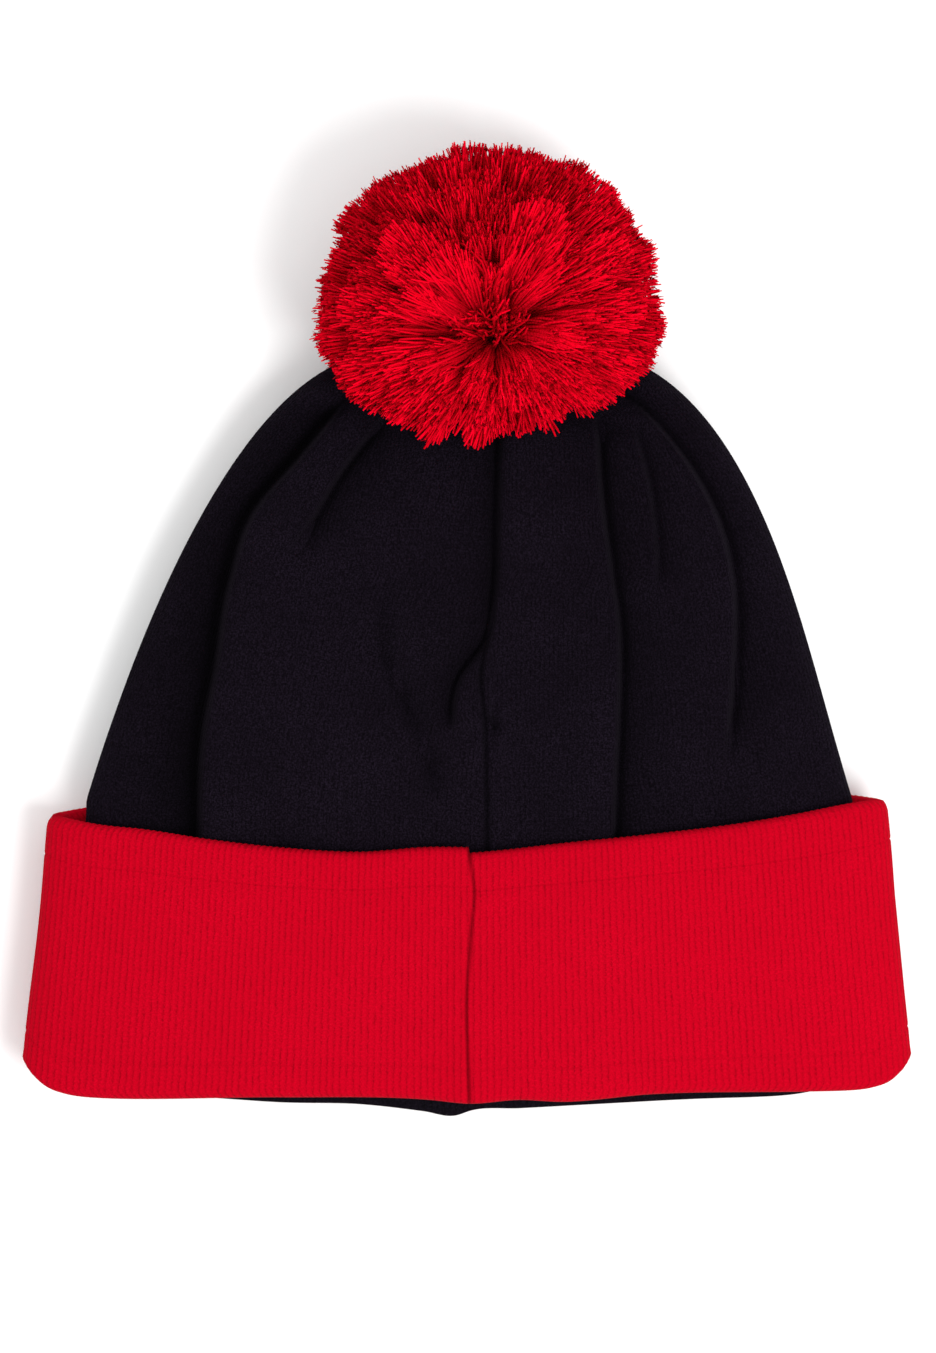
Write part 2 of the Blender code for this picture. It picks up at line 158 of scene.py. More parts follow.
VALLEY_LIP, VALLEY_LIP_AWAY, VALLEY_LIP_WIDTH = 1.6 * MM, 12 * MM, 7 * MM
VALLEY_SHADE, VALLEY_SHADE_AWAY, VALLEY_SHADE_WIDTH = 0.42, 0.5 * MM, 2.2 * MM
SEAM_PINCH = (0.0068, -0.0262)
PINCH_DEPTH, PINCH_WIDTH, PINCH_SHADE, PINCH_STRETCH = 2.2 * MM, 2.6 * MM, 0.8, 1.4
PUCKERS, PUCKER_TURN, PUCKER_HEIGHT, PUCKER_AWAY, PUCKER_WIDTH = 6, 0.8, 0.8 * MM, 7 * MM, 5 * MM
# Height, length and random seed of the soft unevenness of each surface.
UPPER_UNEVENNESS = ((0.8 * MM, 42 * MM, 3), (0.30 * MM, 15 * MM, 4))
UNDER_UNEVENNESS = (0.3 * MM, 38 * MM, 5)
CUFF_UNEVENNESS = (0.35 * MM, 55 * MM, 8)
# Below these heights nothing may stand up, because of the cuff, and nothing may sink, because of the label.
CUFF_COVERS_Y, CUFF_FADE = -0.066, 0.014
LABEL_Y, LABEL_FADE = -0.084, 0.026
UNDER_CREASES = {
    "under_left": crease(
        side=1, rise=0.8, drop=1.4, reach=(9, 8), fade=(8, 14), gorge=(1.0, 1.5), shade=0.40,
        points=((-20, 62), (-42, 30), (-50, -10), (-52, -40))),
    "under_right": crease(
        side=-1, rise=0.8, drop=1.4, reach=(9, 8), fade=(8, 14), gorge=(1.0, 1.5), shade=0.40,
        points=((26, 62), (43, 28), (52, -12), (54, -40))),
}

# Pom-pom.  Its strands spring from a tie whose crater opens upwards, off the ball's centre.
POM_CENTRE = np.array((0.0058, 0.0908, 0.0400))
POM_RADII = np.array((0.0458, 0.0385, 0.0385))
TIE = np.array((0.0072, 0.0785, 0.0450))
LOW_SPREAD = 0.30
PIVOT = np.array((0.0055, 0.0750, 0.0148))
POM_SWAY, POM_NOD = math.radians(20), math.radians(15)
# Petals of yarn round the crater: direction (degrees from +X), reach from the tie, half-width (degrees) and
# how far the tips stand out from the ball's round surface.
UPPER_PETALS = ((67, 0.0365, 13, 1.08), (34, 0.0415, 8, 0.98), (9, 0.0400, 8, 1.01),
    (101, 0.0400, 6, 0.84), (138, 0.0385, 13, 1.08), (170, 0.0415, 8, 1.00), (90, 0.0170, 15, 0.70),
    (48, 0.0250, 8, 0.86), (155, 0.0260, 7, 0.88), (118, 0.0230, 7, 0.80))
LOWER_PETALS = ((196, 0.0440, 8, 1.00), (219, 0.0355, 9, 0.99), (237, 0.0335, 7, 0.98),
    (261, 0.0300, 6, 0.90), (289, 0.0215, 7, 0.86), (309, 0.0280, 7, 0.97), (328, 0.0325, 7, 0.98),
    (347, 0.0405, 7, 1.00), (207, 0.0240, 7, 0.88), (250, 0.0190, 8, 0.86), (316, 0.0190, 8, 0.84),
    (356, 0.0240, 7, 0.90))
PLY_RADIUS = 0.00032
PLY_SPREAD = 0.00047
PLIES = 3
POM_SEED, TUFTS = 21, 130
OUTER_YARNS, HEART_YARNS, UPPER_YARNS_EACH, LOWER_YARNS_EACH = 3900, 90, 150, 135
CRATER_RADIUS, CRATER_LIP, CRATER_SLOPE, CRATER_SINK = 0.026, 0.040, 0.012, 0.12
FLOOR_GAP = 0.0004
# Nods at which yarn is tested, and how far above and beside the crown each kind of strand is kept.
NODS = (POM_NOD / 2, POM_NOD)
YARN_MARGIN, YARN_NOD_MARGIN = (3.0 * MM, 1.2 * MM), (3.0 * MM, 2.0 * MM)
PLY_MARGIN, PLY_NOD_MARGIN = (3.2 * MM, 1.9 * MM), (2.8 * MM, 1.6 * MM)
FRAY_MARGIN = (3.0 * MM, 1.8 * MM)


def smooth_step(value):
    value = np.clip(value, 0.0, 1.0)
    return value * value * (3 - 2 * value)


def bell(distance, width):
    """A smooth bump, 1 at no distance."""
    return np.exp(-(distance / width) ** 2)


# -------- mesh building

def add_object(name, data):
    piece = bpy.data.objects.new(name, data)
    bpy.context.scene.collection.objects.link(piece)
    return piece


def quad_mesh(name, points, quads, uv_name, uvs):
    """A smooth-shaded object from arrays: points (n, 3), quads (m, 4), uvs (m, 4, 2)."""
    mesh = bpy.data.meshes.new(name)
    mesh.vertices.add(len(points))
    mesh.vertices.foreach_set("co", np.ascontiguousarray(points, dtype=np.float32).ravel())
    mesh.loops.add(quads.size)
    mesh.loops.foreach_set("vertex_index", np.ascontiguousarray(quads, dtype=np.int32).ravel())
    mesh.polygons.add(len(quads))
    mesh.polygons.foreach_set("loop_start", np.arange(0, quads.size, 4, dtype=np.int32))
    layer = mesh.uv_layers.new(name=uv_name)
    layer.data.foreach_set("uv", np.ascontiguousarray(uvs, dtype=np.float32).ravel())
    mesh.update(calc_edges=True)
    mesh.validate()
    mesh.shade_smooth()
    return add_object(name, mesh)


def corner_points(row, row_next, column, column_next):
    """Point numbers of each quad's four corners."""
    return np.stack([row + column, row + column_next, row_next + column_next, row_next + column], -1)


def corner_uvs(left, right, low, high):
    """UVs of the same four corners."""
    corners = ((left, low), (right, low), (right, high), (left, high))
    return np.stack([np.stack(corner, -1) for corner in corners], -2)


def ring_mesh(name, rows, wales, heights):
    """Skin closed rings that follow each other and meet again: rows (r, c, 3).

    UV u counts wales round the ring and UV v counts courses, from each row's height in metres.
    """
    count, around = rows.shape[:2]
    r, c = np.meshgrid(np.arange(count), np.arange(around), indexing="ij")
    r_next, c_next = (r + 1) % count, (c + 1) % around
    quads = corner_points(r * around, r_next * around, c, c_next)
    course = np.asarray(heights) / COURSE
    uvs = corner_uvs(c / around * wales, (c + 1) / around * wales, course[r], course[r_next])
    return quad_mesh(name, rows.reshape(-1, 3), quads.reshape(-1, 4)[:, ::-1], "knit",
                     uvs.reshape(-1, 4, 2)[:, ::-1])


def smooth_curve(keys, values, at):
    """A smooth curve through (key, value) points, read at many places."""
    order = np.argsort(keys)
    keys, values = np.asarray(keys)[order], np.asarray(values)[order]
    slopes = np.gradient(values, keys)
    k = np.clip(np.searchsorted(keys, at) - 1, 0, len(keys) - 2)
    span = keys[k + 1] - keys[k]
    t = np.clip((at - keys[k]) / span, 0, 1)
    start = (2 * t**3 - 3 * t**2 + 1) * values[k] + (t**3 - 2 * t**2 + t) * span * slopes[k]
    return start + (-2 * t**3 + 3 * t**2) * values[k + 1] + (t**3 - t**2) * span * slopes[k + 1]


def through(points, y):
    """x of a crease at y."""
    knots = np.array(points)
    return smooth_curve(knots[:, 1], knots[:, 0], y)


def edge_line(points, x):
    """y of an edge at x."""
    knots = np.array(points)
    return smooth_curve(knots[:, 0], knots[:, 1], x)


def along(points, y, fade):
    """1 along a crease, falling to 0 at its two ends over the fade lengths (tip end, hem end)."""
    top = max(point[1] for point in points)
    bottom = min(point[1] for point in points)
    return smooth_step((top - y) / fade[0]) * smooth_step((y - bottom) / fade[1])


def wale_wave(columns, wales):
    """A wave round the ring with one crest to a wale."""
    return np.cos(2 * math.pi * np.arange(columns) / columns * wales)


def soft_noise(x, y, scale, seed):
    """Smooth waves without a pattern, about -1 to 1."""
    rng = np.random.default_rng(seed)
    total = np.zeros(np.broadcast(x, y).shape)
    for _ in range(6):
        angle, phase = rng.uniform(0, 2 * math.pi, 2)
        pitch = scale * rng.uniform(0.7, 1.6)
        total = total + np.sin((x * math.cos(angle) + y * math.sin(angle)) / pitch * 2 * math.pi + phase)
    return total / 3.0


# -------- the knitted body's shape

def body_half_width(station):
    widening = smooth_step(-station / WIDENING_RUN)
    inside_cuff = BODY_RIM_HALF_WIDTH + (BODY_HEM_HALF_WIDTH - BODY_RIM_HALF_WIDTH) * widening
    s = np.clip(station, 0.0, 1.0)
    crown = BODY_RIM_HALF_WIDTH * (1 - CROWN_NARROWING * s) * (1 - s ** DOME_POWER) ** DOME_ROOT
    return np.where(station <= 0, inside_cuff, crown)


def body_half_depth(station, inset):
    swell = smooth_step((station - SWELL_START) / SWELL_RUN)
    depth = BODY_HEM_HALF_DEPTH + (BODY_CROWN_HALF_DEPTH - BODY_HEM_HALF_DEPTH) * swell
    return (depth - inset) * (1 - np.clip(station, 0.0, 1.0) ** TIP_THINNING) ** 0.5


def body_centre(station):
    sink = smooth_step((station - SWELL_START) / SWELL_RUN)
    x = BODY_RIM_CENTRE_X + (BODY_TIP_CENTRE_X - BODY_RIM_CENTRE_X) * smooth_step(station)
    return x, BODY_HEM_CENTRE_Z + (BODY_CROWN_CENTRE_Z - BODY_HEM_CENTRE_Z) * sink


def crease_relief(x, y, creases):
    """How far the creases lift or sink the surface at (x, y), and the painted shade there (0 to 1), darkest
    in a crease.
    """
    total = np.zeros(np.broadcast(x, y).shape)
    depth = np.zeros_like(total)
    for fold in creases.values():
        strength = along(fold["points"], y, fold["fade"])
        distance = (x - through(fold["points"], y)) * fold["side"]
        high, low = fold["reach"]
        gorge, gap = fold["gorge"]
        lower = smooth_step(0.5 - distance / CREASE_TURN)
        up = fold["rise"] * bell(distance - CREST_AWAY, high)
        down = -fold["drop"] * bell(distance, low)
        slot = bell(distance + 0.9 * gap, gap)
        total = total + strength * (up * (1 - lower) + down * lower - gorge * slot)
        # Painted shade: a narrow band in the slot and a broad one fading out over the lower side.
        narrow = 0.8 * bell(distance + 0.8 * gap, gap)
        broad = np.exp(np.minimum(distance, 0) / low) * smooth_step(0.5 - distance / SHADE_TURN)
        depth = np.maximum(depth, strength * fold["shade"] * np.maximum(narrow, broad))
    return total, depth


def outside_cuff(y):
    return smooth_step((y - CUFF_COVERS_Y) / CUFF_FADE)


def upper_relief(x, y):
    """The whole relief of the upper wall: creases, seam groove, valley, pinch and soft unevenness, and the
    painted shade in them.

    Under the cuff nothing stands up, the folds fade out above the label and the seam runs to the hem.
    """
    above_label = smooth_step((y - LABEL_Y) / LABEL_FADE)
    relief, depth = crease_relief(x, y, CREASES)
    seam = x - through(BACK_SEAM, y)
    groove = bell(seam, SEAM_GROOVE_WIDTH)
    relief = relief + SEAM_SWELL * bell(seam, SEAM_SWELL_WIDTH)
    valley = x - through(SOFT_VALLEY, y)
    valley_share = along(SOFT_VALLEY, y, VALLEY_FADE)
    relief = relief - VALLEY_DEPTH * valley_share * bell(valley, VALLEY_WIDTH)
    relief = relief + VALLEY_LIP * valley_share * bell(valley - VALLEY_LIP_AWAY, VALLEY_LIP_WIDTH)
    away_x, away_y = x - SEAM_PINCH[0], y - SEAM_PINCH[1]
    away = np.hypot(away_x, away_y * PINCH_STRETCH)
    pinch = bell(away, PINCH_WIDTH)
    relief = relief - PINCH_DEPTH * pinch
    rays = np.cos(PUCKERS * np.arctan2(away_y, away_x) + PUCKER_TURN)
    relief = relief + PUCKER_HEIGHT * rays * bell(away - PUCKER_AWAY, PUCKER_WIDTH)
    for height, scale, seed in UPPER_UNEVENNESS:
        relief = relief + height * soft_noise(x, y, scale, seed)
    # Painted shade along the soft valley and in the pinch, none below the label, and in the seam groove all
    # the way.
    soft = VALLEY_SHADE * valley_share * bell(valley + VALLEY_SHADE_AWAY, VALLEY_SHADE_WIDTH)
    depth = np.clip(np.maximum(depth, PINCH_SHADE * pinch) + soft, 0, 1) * above_label
    relief = np.maximum(relief, 0) * outside_cuff(y) + np.minimum(relief, 0) * above_label
    return relief - SEAM_GROOVE_DEPTH * groove, np.maximum(depth, SEAM_SHADE * groove)


def under_relief(x, y):
    """The relief of the lower wall, which faces the table, and the painted shade in its creases."""
    relief, depth = crease_relief(x, y, UNDER_CREASES)
    height, scale, seed = UNDER_UNEVENNESS
    relief = relief + height * soft_noise(x, y, scale, seed)
    return -relief * outside_cuff(y), depth * outside_cuff(y)


def half_ring(half_width, half_depth, power, columns, fold_places):
    """Columns over half a superellipse, evenly by length but crowded where a crease takes cloth in.

    fold_places holds (x, share) pairs.  Returns x and z, running from the left side to the right.
    """
    t = np.linspace(math.pi, 0.0, 1600)
    x = half_width * np.sign(np.cos(t)) * np.abs(np.cos(t)) ** (2 / power)
    z = half_depth * np.abs(np.sin(t)) ** (2 / power)
    run = np.concatenate([[0.0], np.cumsum(np.hypot(np.diff(x), np.diff(z)))])
    full = 2 * BODY_RIM_HALF_WIDTH + FOLD_SPARE
    spare = max(full - run[-1], 0.0)
    density = np.ones_like(x)
    total_share = sum(share for _, share in fold_places)
    if total_share > 0 and spare > 0:
        for place, share in fold_places:
            where = np.interp(place, x, run)
            weight = FOLD_SHARE * spare * share / max(total_share, 1.0)
            density = density + weight * bell(run - where, FOLD_WIDTH) / (FOLD_WIDTH * math.sqrt(math.pi))
    count = np.concatenate([[0.0], np.cumsum((density[1:] + density[:-1]) / 2 * np.diff(run))])
    wanted = np.linspace(0, count[-1], columns, endpoint=False)
    return np.interp(wanted, count, x), np.interp(wanted, count, z)


def normals(x, z, half_width, half_depth, power):
    """Outward directions round a superellipse."""
    normal_x = np.sign(x) * np.abs(x / half_width) ** (power - 1) / half_width
    normal_z = np.sign(z) * np.abs(z / half_depth) ** (power - 1) / half_depth
    length = np.hypot(normal_x, normal_z) + 1e-12
    return normal_x / length, normal_z / length


def lower_share(upward):
    """1 on the lower wall, 0 on the upper; upward runs from 0 at the bottom to 1 at the top."""
    return smooth_step(1.15 - 1.3 * upward)


def hem_shift(x, upward, far_margin):
    """How far the hem moves from HEM_Y: hidden above the fold on the upper wall, peeking out on the lower."""
    near = edge_line(FOLD_LINE, x) + 1.5 * MM
    far = edge_line(LOWER_HEM, x) + far_margin
    corner = (CUFF_CORNER_RISE + 1.5 * MM) * np.clip(np.abs(x) / BODY_HEM_HALF_WIDTH, 0, 1) ** 14
    return near + (far - near) * lower_share(upward) - HEM_Y + corner


def body_row(station, inset, columns, far_margin, wales, wale_relief):
    """One ring of a body layer, starting at the left side and going over the upper wall."""
    centre_x, centre_z = body_centre(station)
    half_width = max(float(body_half_width(np.float64(station))) - inset, TIP_HOLE_RADIUS)
    half_depth = max(float(body_half_depth(station, inset)), TIP_HOLE_RADIUS)
    power = FLATNESS + (2 - FLATNESS) * smooth_step((station - ROUND_START) / ROUND_RUN)
    y = RIM_Y + station * (TIP_Y - RIM_Y - (inset if station > 0 else 0.0))
    half = columns // 2
    upper, under = ([(through(c["points"], y) - centre_x, along(c["points"], y, c["fade"]))
                     for c in creases.values()] for creases in (CREASES, UNDER_CREASES))
    upper.append((through(BACK_SEAM, y) - centre_x, SEAM_FOLD_SHARE))
    x_up, z_up = half_ring(half_width, half_depth, power, half, upper)
    x_low, z_low = half_ring(half_width, half_depth, power, half, [(-place, share) for place, share in under])
    x = np.concatenate([x_up, -x_low])
    z = np.concatenate([z_up, -z_low])
    normal_x, normal_z = normals(x, z, half_width, half_depth, power)
    wale = wale_wave(columns, wales) * wale_relief
    near_tip = 1 - smooth_step((station - SMOOTH_TIP_START) / SMOOTH_TIP_RUN)
    upper, upper_painted_shade = upper_relief(x + centre_x, y)
    lower, lower_painted_shade = under_relief(x + centre_x, y)
    facing = np.abs(normal_z) ** 0.5 * near_tip
    relief = np.where(z >= 0, upper, lower) * facing
    # Painted shade from the creases of whichever wall the point lies on.
    depth = np.where(z >= 0, upper_painted_shade, lower_painted_shade) * facing
    upward = 0.5 + 0.5 * z / half_depth
    x = x + centre_x + normal_x * wale
    z = z + centre_z + normal_z * wale + relief
    hem_share = smooth_step((-station - HEM_SHIFT_START) / HEM_SHIFT_RUN)
    y_values = y + hem_share * hem_shift(x, upward, far_margin)
    return np.stack([x, y_values, np.maximum(z, inset)], -1), depth


def station_list(crown_rows):
    hem = np.linspace(HEM_STATION, -0.13, 7)
    crown = np.linspace(-0.10, 0.93, crown_rows)
    tip = 1 - 0.07 * (1 - np.linspace(0, 1, 9)[1:]) ** 1.7
    return np.concatenate([hem, crown, tip])


def painted_shade_attribute(piece, depth):
    """Store the painted shade of each point, strongest deep in a crease, which the material uses to darken
    the colour.
    """
    layer = piece.data.attributes.new("crease", "FLOAT", "POINT")
    layer.data.foreach_set("value", np.ascontiguousarray(depth, dtype=np.float32).ravel())


def knitted_body(name, inset, thickness, far_margin, wales, steps, rows, inner_rows, relief):
    """One layer of the crown: rings up its outer side from hem to tip, then down its inner side."""
    columns = wales * steps
    outer = station_list(rows)
    inner = station_list(inner_rows)[::-1]
    front = [body_row(s, inset, columns, far_margin, wales, relief) for s in outer]
    back = [body_row(s, inset + thickness, columns, far_margin, wales, 0.0) for s in inner]
    heights = list(outer * (TIP_Y - RIM_Y)) + list(inner * (TIP_Y - RIM_Y))
    piece = ring_mesh(name, np.array([row for row, _ in front + back]), wales, heights)
    painted_shade_attribute(piece, np.array([depth for _, depth in front + back]))
    return piece


def tube_along(name, centres, first, second, sides, uv_scale):
    """A closed tube with its own cross-section axes at each point: centres, first, second are (n, 3)."""
    angle = 2 * math.pi * np.arange(sides) / sides
    rings = (centres[:, None, :] + first[:, None, :] * np.cos(angle)[None, :, None]
             + second[:, None, :] * np.sin(angle)[None, :, None])
    ends = [centres[end, None, :].repeat(sides, 1) for end in (slice(0, 1), slice(-1, None))]
    rings = np.concatenate([ends[0], rings, ends[1]])
    count = len(rings)
    r, c = np.meshgrid(np.arange(count - 1), np.arange(sides), indexing="ij")
    c_next = (c + 1) % sides
    quads = corner_points(r * sides, (r + 1) * sides, c, c_next)
    uvs = corner_uvs(c / sides, (c + 1) / sides, r * uv_scale, (r + 1) * uv_scale)
    return quad_mesh(name, rings.reshape(-1, 3), quads.reshape(-1, 4), "yarn", uvs.reshape(-1, 4, 2))


def seam_allowance(name, side):
    """One overlocked edge beside centre back, following the upper wall between shell and lining."""
    inset = (SHELL_THICKNESS + LINING_INSET) / 2
    stations = np.linspace(-0.60, 0.82, 190)
    centres = []
    for station in stations:
        y = RIM_Y + station * (TIP_Y - RIM_Y - (inset if station > 0 else 0.0))
        centre_x, centre_z = body_centre(station)
        x = centre_x + side * 2.9 * MM
        reach_x, reach_y = np.meshgrid(x + np.linspace(-3.0, 3.0, 13) * MM,
                                       y + np.linspace(-2.0, 2.0, 5) * MM)
        lowest = min(float(upper_relief(reach_x, reach_y)[0].min()), 0.0)
        centres.append((x, y, centre_z + float(body_half_depth(station, inset)) + lowest))
    centres = np.array(centres)
    wave = 1 + 0.10 * np.sin(np.arange(len(centres)) * math.pi)
    first = np.array([[1.9 * MM, 0, 0]]) * wave[:, None]
    second = np.array([[0, 0, 0.28 * MM]]) * np.ones((len(centres), 1))
    return tube_along(name, centres, first, second, 10, 0.25)


def hem_stitches():
    """The thread that links shell and lining: a loop over both edges at every second wale."""
    loops, steps = 120, 12
    count = loops * steps
    inset = (SHELL_THICKNESS + LINING_INSET) / 2
    row, _ = body_row(HEM_STATION, inset, count, 0.4 * MM, BODY_WALES, 0.0)
    inner, _ = body_row(HEM_STATION, inset + 1.0 * MM, count, 0.4 * MM, BODY_WALES, 0.0)
    inward = unit(inner - row)
    turn = 2 * math.pi * np.arange(count) / steps
    centres = row + inward * (np.cos(turn) * 1.9 * MM)[:, None]
    centres[:, 1] += 1.7 * MM + np.sin(turn) * 1.6 * MM
    centres[:, 2] = np.maximum(centres[:, 2], 0.4 * MM)
    tangent = unit(np.gradient(centres, axis=0))
    first = unit(np.cross(tangent, np.array([0.0, 1.0, 0.0]) + inward * 0.3)) * 0.26 * MM
    second = unit(np.cross(tangent, first)) * 0.26 * MM
    return tube_along("hem_linking_stitches", centres, first, second, 5, 1.0)


# -------- cuff

def cuff_fold_y(x, share, upward):
    near = edge_line(FOLD_LINE, x)
    far = edge_line(LOWER_HEM, x) + 1.9 * MM
    corner = np.abs(share) ** CUFF_CORNER_SHARPNESS
    return near + (far - near) * lower_share(upward) + CUFF_CORNER_RISE * corner


def cuff_rim_y(x, upward):
    near = np.where(x < CUFF_SEAM_X, edge_line(RIM_LEFT, x), edge_line(RIM_RIGHT, x))
    return np.where(upward > 0.5, near, edge_line(FAR_RIM, x))


def cuff_row(height, half_width, half_depth, floor, relief, columns, out=0.0):
    """One ring of the cuff; height runs from the fold (0) to the rim (1), out pushes along the normal."""
    half = columns // 2
    x_up, z_up = half_ring(half_width, half_depth, FLATNESS, half, [])
    x = np.concatenate([x_up, -x_up])
    z = np.concatenate([z_up, -z_up])
    share = x / half_width
    upward = 0.5 + 0.5 * z / half_depth
    normal_x, normal_z = normals(x, z, half_width, half_depth, FLATNESS)
    rim_x = share * CUFF_RIM_HALF_WIDTH
    y = cuff_fold_y(x, share, upward) * (1 - height) + cuff_rim_y(rim_x, upward) * height
    push = relief * wale_wave(columns, CUFF_WALES) + out
    if relief:
        seam = np.where(z > 0, x - through(CUFF_SEAM, y), 1.0)
        push = push - CUFF_SEAM_DEPTH * bell(seam, CUFF_SEAM_WIDTH)
        push = push + CUFF_SEAM_LIP * bell(seam + CUFF_LIP_AWAY, CUFF_LIP_WIDTH)
        size, scale, seed = CUFF_UNEVENNESS
        push = push + size * soft_noise(x, y, scale, seed) * (z > 0)
    x = x + normal_x * push
    z = z + normal_z * push
    return np.stack([x, y, np.maximum(BODY_HEM_CENTRE_Z + z, floor)], -1)


def cuff_outer_half_width(height):
    return CUFF_FOLD_HALF_WIDTH + (CUFF_RIM_HALF_WIDTH - CUFF_FOLD_HALF_WIDTH) * height


def cuff_heights():
    """Rows up the cuff, closer together at the two knitted-in lines and at both edges."""
    spread = list(np.linspace(0.06, 0.96, 17))
    lines = [place + step for place in CUFF_LINES for step in (-0.010, -0.004, 0.0, 0.004, 0.010)]
    return sorted(spread + lines)


def cuff_line_relief(height):
    return -CUFF_LINE_DEPTH * sum(math.exp(-((height - line) / CUFF_LINE_WIDTH) ** 2) for line in CUFF_LINES)


def cuff_band():
    """The turned-up cuff: two leaves of knit joined at the rim, as rings from the fold up and back."""
    columns = CUFF_WALES * CUFF_WALE_STEPS
    rows, heights = [], []

    def add(height, half_width, half_depth, floor, relief=0.0, out=0.0, lift=0.0):
        row = cuff_row(height, half_width, half_depth, floor, relief, columns, out)
        row[:, 1] += lift
        rows.append(row)
        heights.append(height * CUFF_DEPTH)

    # Outer leaf, from the fold up; the fold itself rolls inwards.
    for turn in (0.0, 0.33, 0.66, 0.88):
        angle = turn * math.pi / 2
        inward = 2.6 * MM * (1 - math.sin(angle))
        add(0.036 * (1 - math.cos(angle)), CUFF_FOLD_HALF_WIDTH - inward, CUFF_HALF_DEPTH - inward, 0.0,
            CUFF_WALE_RELIEF * turn)
    for height in cuff_heights():
        add(height, cuff_outer_half_width(height), CUFF_HALF_DEPTH, 0.0, CUFF_WALE_RELIEF,
            cuff_line_relief(height))
    # Rim: each wale ends in a small loop.
    loops = RIM_LOOP * wale_wave(columns, CUFF_WALES)
    middle_width = (CUFF_RIM_HALF_WIDTH + CUFF_INNER_HALF_WIDTH) / 2
    middle_depth = (CUFF_HALF_DEPTH + CUFF_INNER_HALF_DEPTH) / 2
    add(0.982, CUFF_RIM_HALF_WIDTH - 0.2 * MM, CUFF_HALF_DEPTH - 0.2 * MM, 0.0, CUFF_WALE_RELIEF)
    add(0.995, CUFF_RIM_HALF_WIDTH - 0.9 * MM, CUFF_HALF_DEPTH - 0.9 * MM, 0.0009, CUFF_WALE_RELIEF,
        lift=loops)
    add(1.002, middle_width, middle_depth, 0.0026, 0.0, lift=loops)
    add(0.995, CUFF_INNER_HALF_WIDTH + 0.8 * MM, CUFF_INNER_HALF_DEPTH + 0.8 * MM, 0.0040)
    # Inner leaf down to the fold, then the slit between the leaves and back.
    for height in (0.97, 0.70, 0.35, 0.04):
        add(height, CUFF_INNER_HALF_WIDTH, CUFF_INNER_HALF_DEPTH, 0.0)
    for height in (0.015, 0.10, 0.50, 0.93):
        add(height, CUFF_INNER_HALF_WIDTH + CUFF_LEAF, CUFF_INNER_HALF_DEPTH + CUFF_LEAF, 0.0)
    for height in (0.93, 0.50, 0.10):
        add(height, cuff_outer_half_width(height) - CUFF_LEAF, CUFF_HALF_DEPTH - CUFF_LEAF, CUFF_LEAF)
    add(0.035, CUFF_FOLD_HALF_WIDTH - 3.2 * MM, CUFF_HALF_DEPTH - 3.0 * MM, CUFF_LEAF)
    piece = ring_mesh("cuff_knit", np.array(rows), CUFF_WALES, heights)
    points = np.array(rows)
    # Painted shade along the cuff's back seam, on its upper wall only.
    seam = bell(points[..., 0] - through(CUFF_SEAM, points[..., 1]), CUFF_SEAM_WIDTH)
    painted_shade_attribute(piece, CUFF_SEAM_SHADE * seam * (points[..., 2] > BODY_HEM_CENTRE_Z))
    return piece


# -------- materials

class Nodes:
    """Short hand for one material's node tree."""

    def __init__(self, name):
        self.material = bpy.data.materials.new(name)
        self.material.use_nodes = True
        self.tree = self.material.node_tree
        self.shader = self.tree.nodes["Principled BSDF"]

    def add(self, kind, **values):
        node = self.tree.nodes.new(kind)
        for key, value in values.items():
            setattr(node, key, value)
        return node

    def link(self, source, target):
        self.tree.links.new(source, target)

    def math(self, operation, first, second=None, clamp=False):
        node = self.add("ShaderNodeMath", operation=operation, use_clamp=clamp)
        for socket, value in zip(node.inputs, (first, second)):
            if value is None:
                continue
            if isinstance(value, (int, float)):
                socket.default_value = value
            else:
                self.link(value, socket)
        return node.outputs[0]

    def times(self, first, second, clamp=False):
        return self.math("MULTIPLY", first, second, clamp)

    def plus(self, first, second, clamp=False):
        return self.math("ADD", first, second, clamp)

    def minus(self, first, second):
        return self.math("SUBTRACT", first, second)

    def mix(self, factor, first, second):
        node = self.add("ShaderNodeMix", data_type="RGBA")
        for socket, value in ((node.inputs[0], factor), (node.inputs[6], first), (node.inputs[7], second)):
            if isinstance(value, (int, float)):
                socket.default_value = value
            elif isinstance(value, tuple):
                socket.default_value = (*value, 1.0)
            else:
                self.link(value, socket)
        return node.outputs[2]

    def noise(self, scale, detail=2.0, vector=None):
        node = self.add("ShaderNodeTexNoise")
        node.inputs["Scale"].default_value = scale
        node.inputs["Detail"].default_value = detail
        if vector is None:
            vector = self.add("ShaderNodeTexCoord").outputs["Object"]
        self.link(vector, node.inputs["Vector"])
        return node.outputs["Fac"]

    def bump(self, height, strength, distance):
        node = self.add("ShaderNodeBump")
        node.inputs["Strength"].default_value = strength
        node.inputs["Distance"].default_value = distance
        self.link(height, node.inputs["Height"])
        self.link(node.outputs[0], self.shader.inputs["Normal"])

    def surface(self, colour, **inputs):
        """Link the base colour and set the shader's other inputs, each _ in a name standing for a space."""
        self.link(colour, self.shader.inputs["Base Color"])
        for name, value in inputs.items():
            self.shader.inputs[name.replace("_", " ")].default_value = value

    def uv(self, name):
        node = self.add("ShaderNodeUVMap", uv_map=name)
        split = self.add("ShaderNodeSeparateXYZ")
        self.link(node.outputs[0], split.inputs[0])
        return split.outputs[0], split.outputs[1]


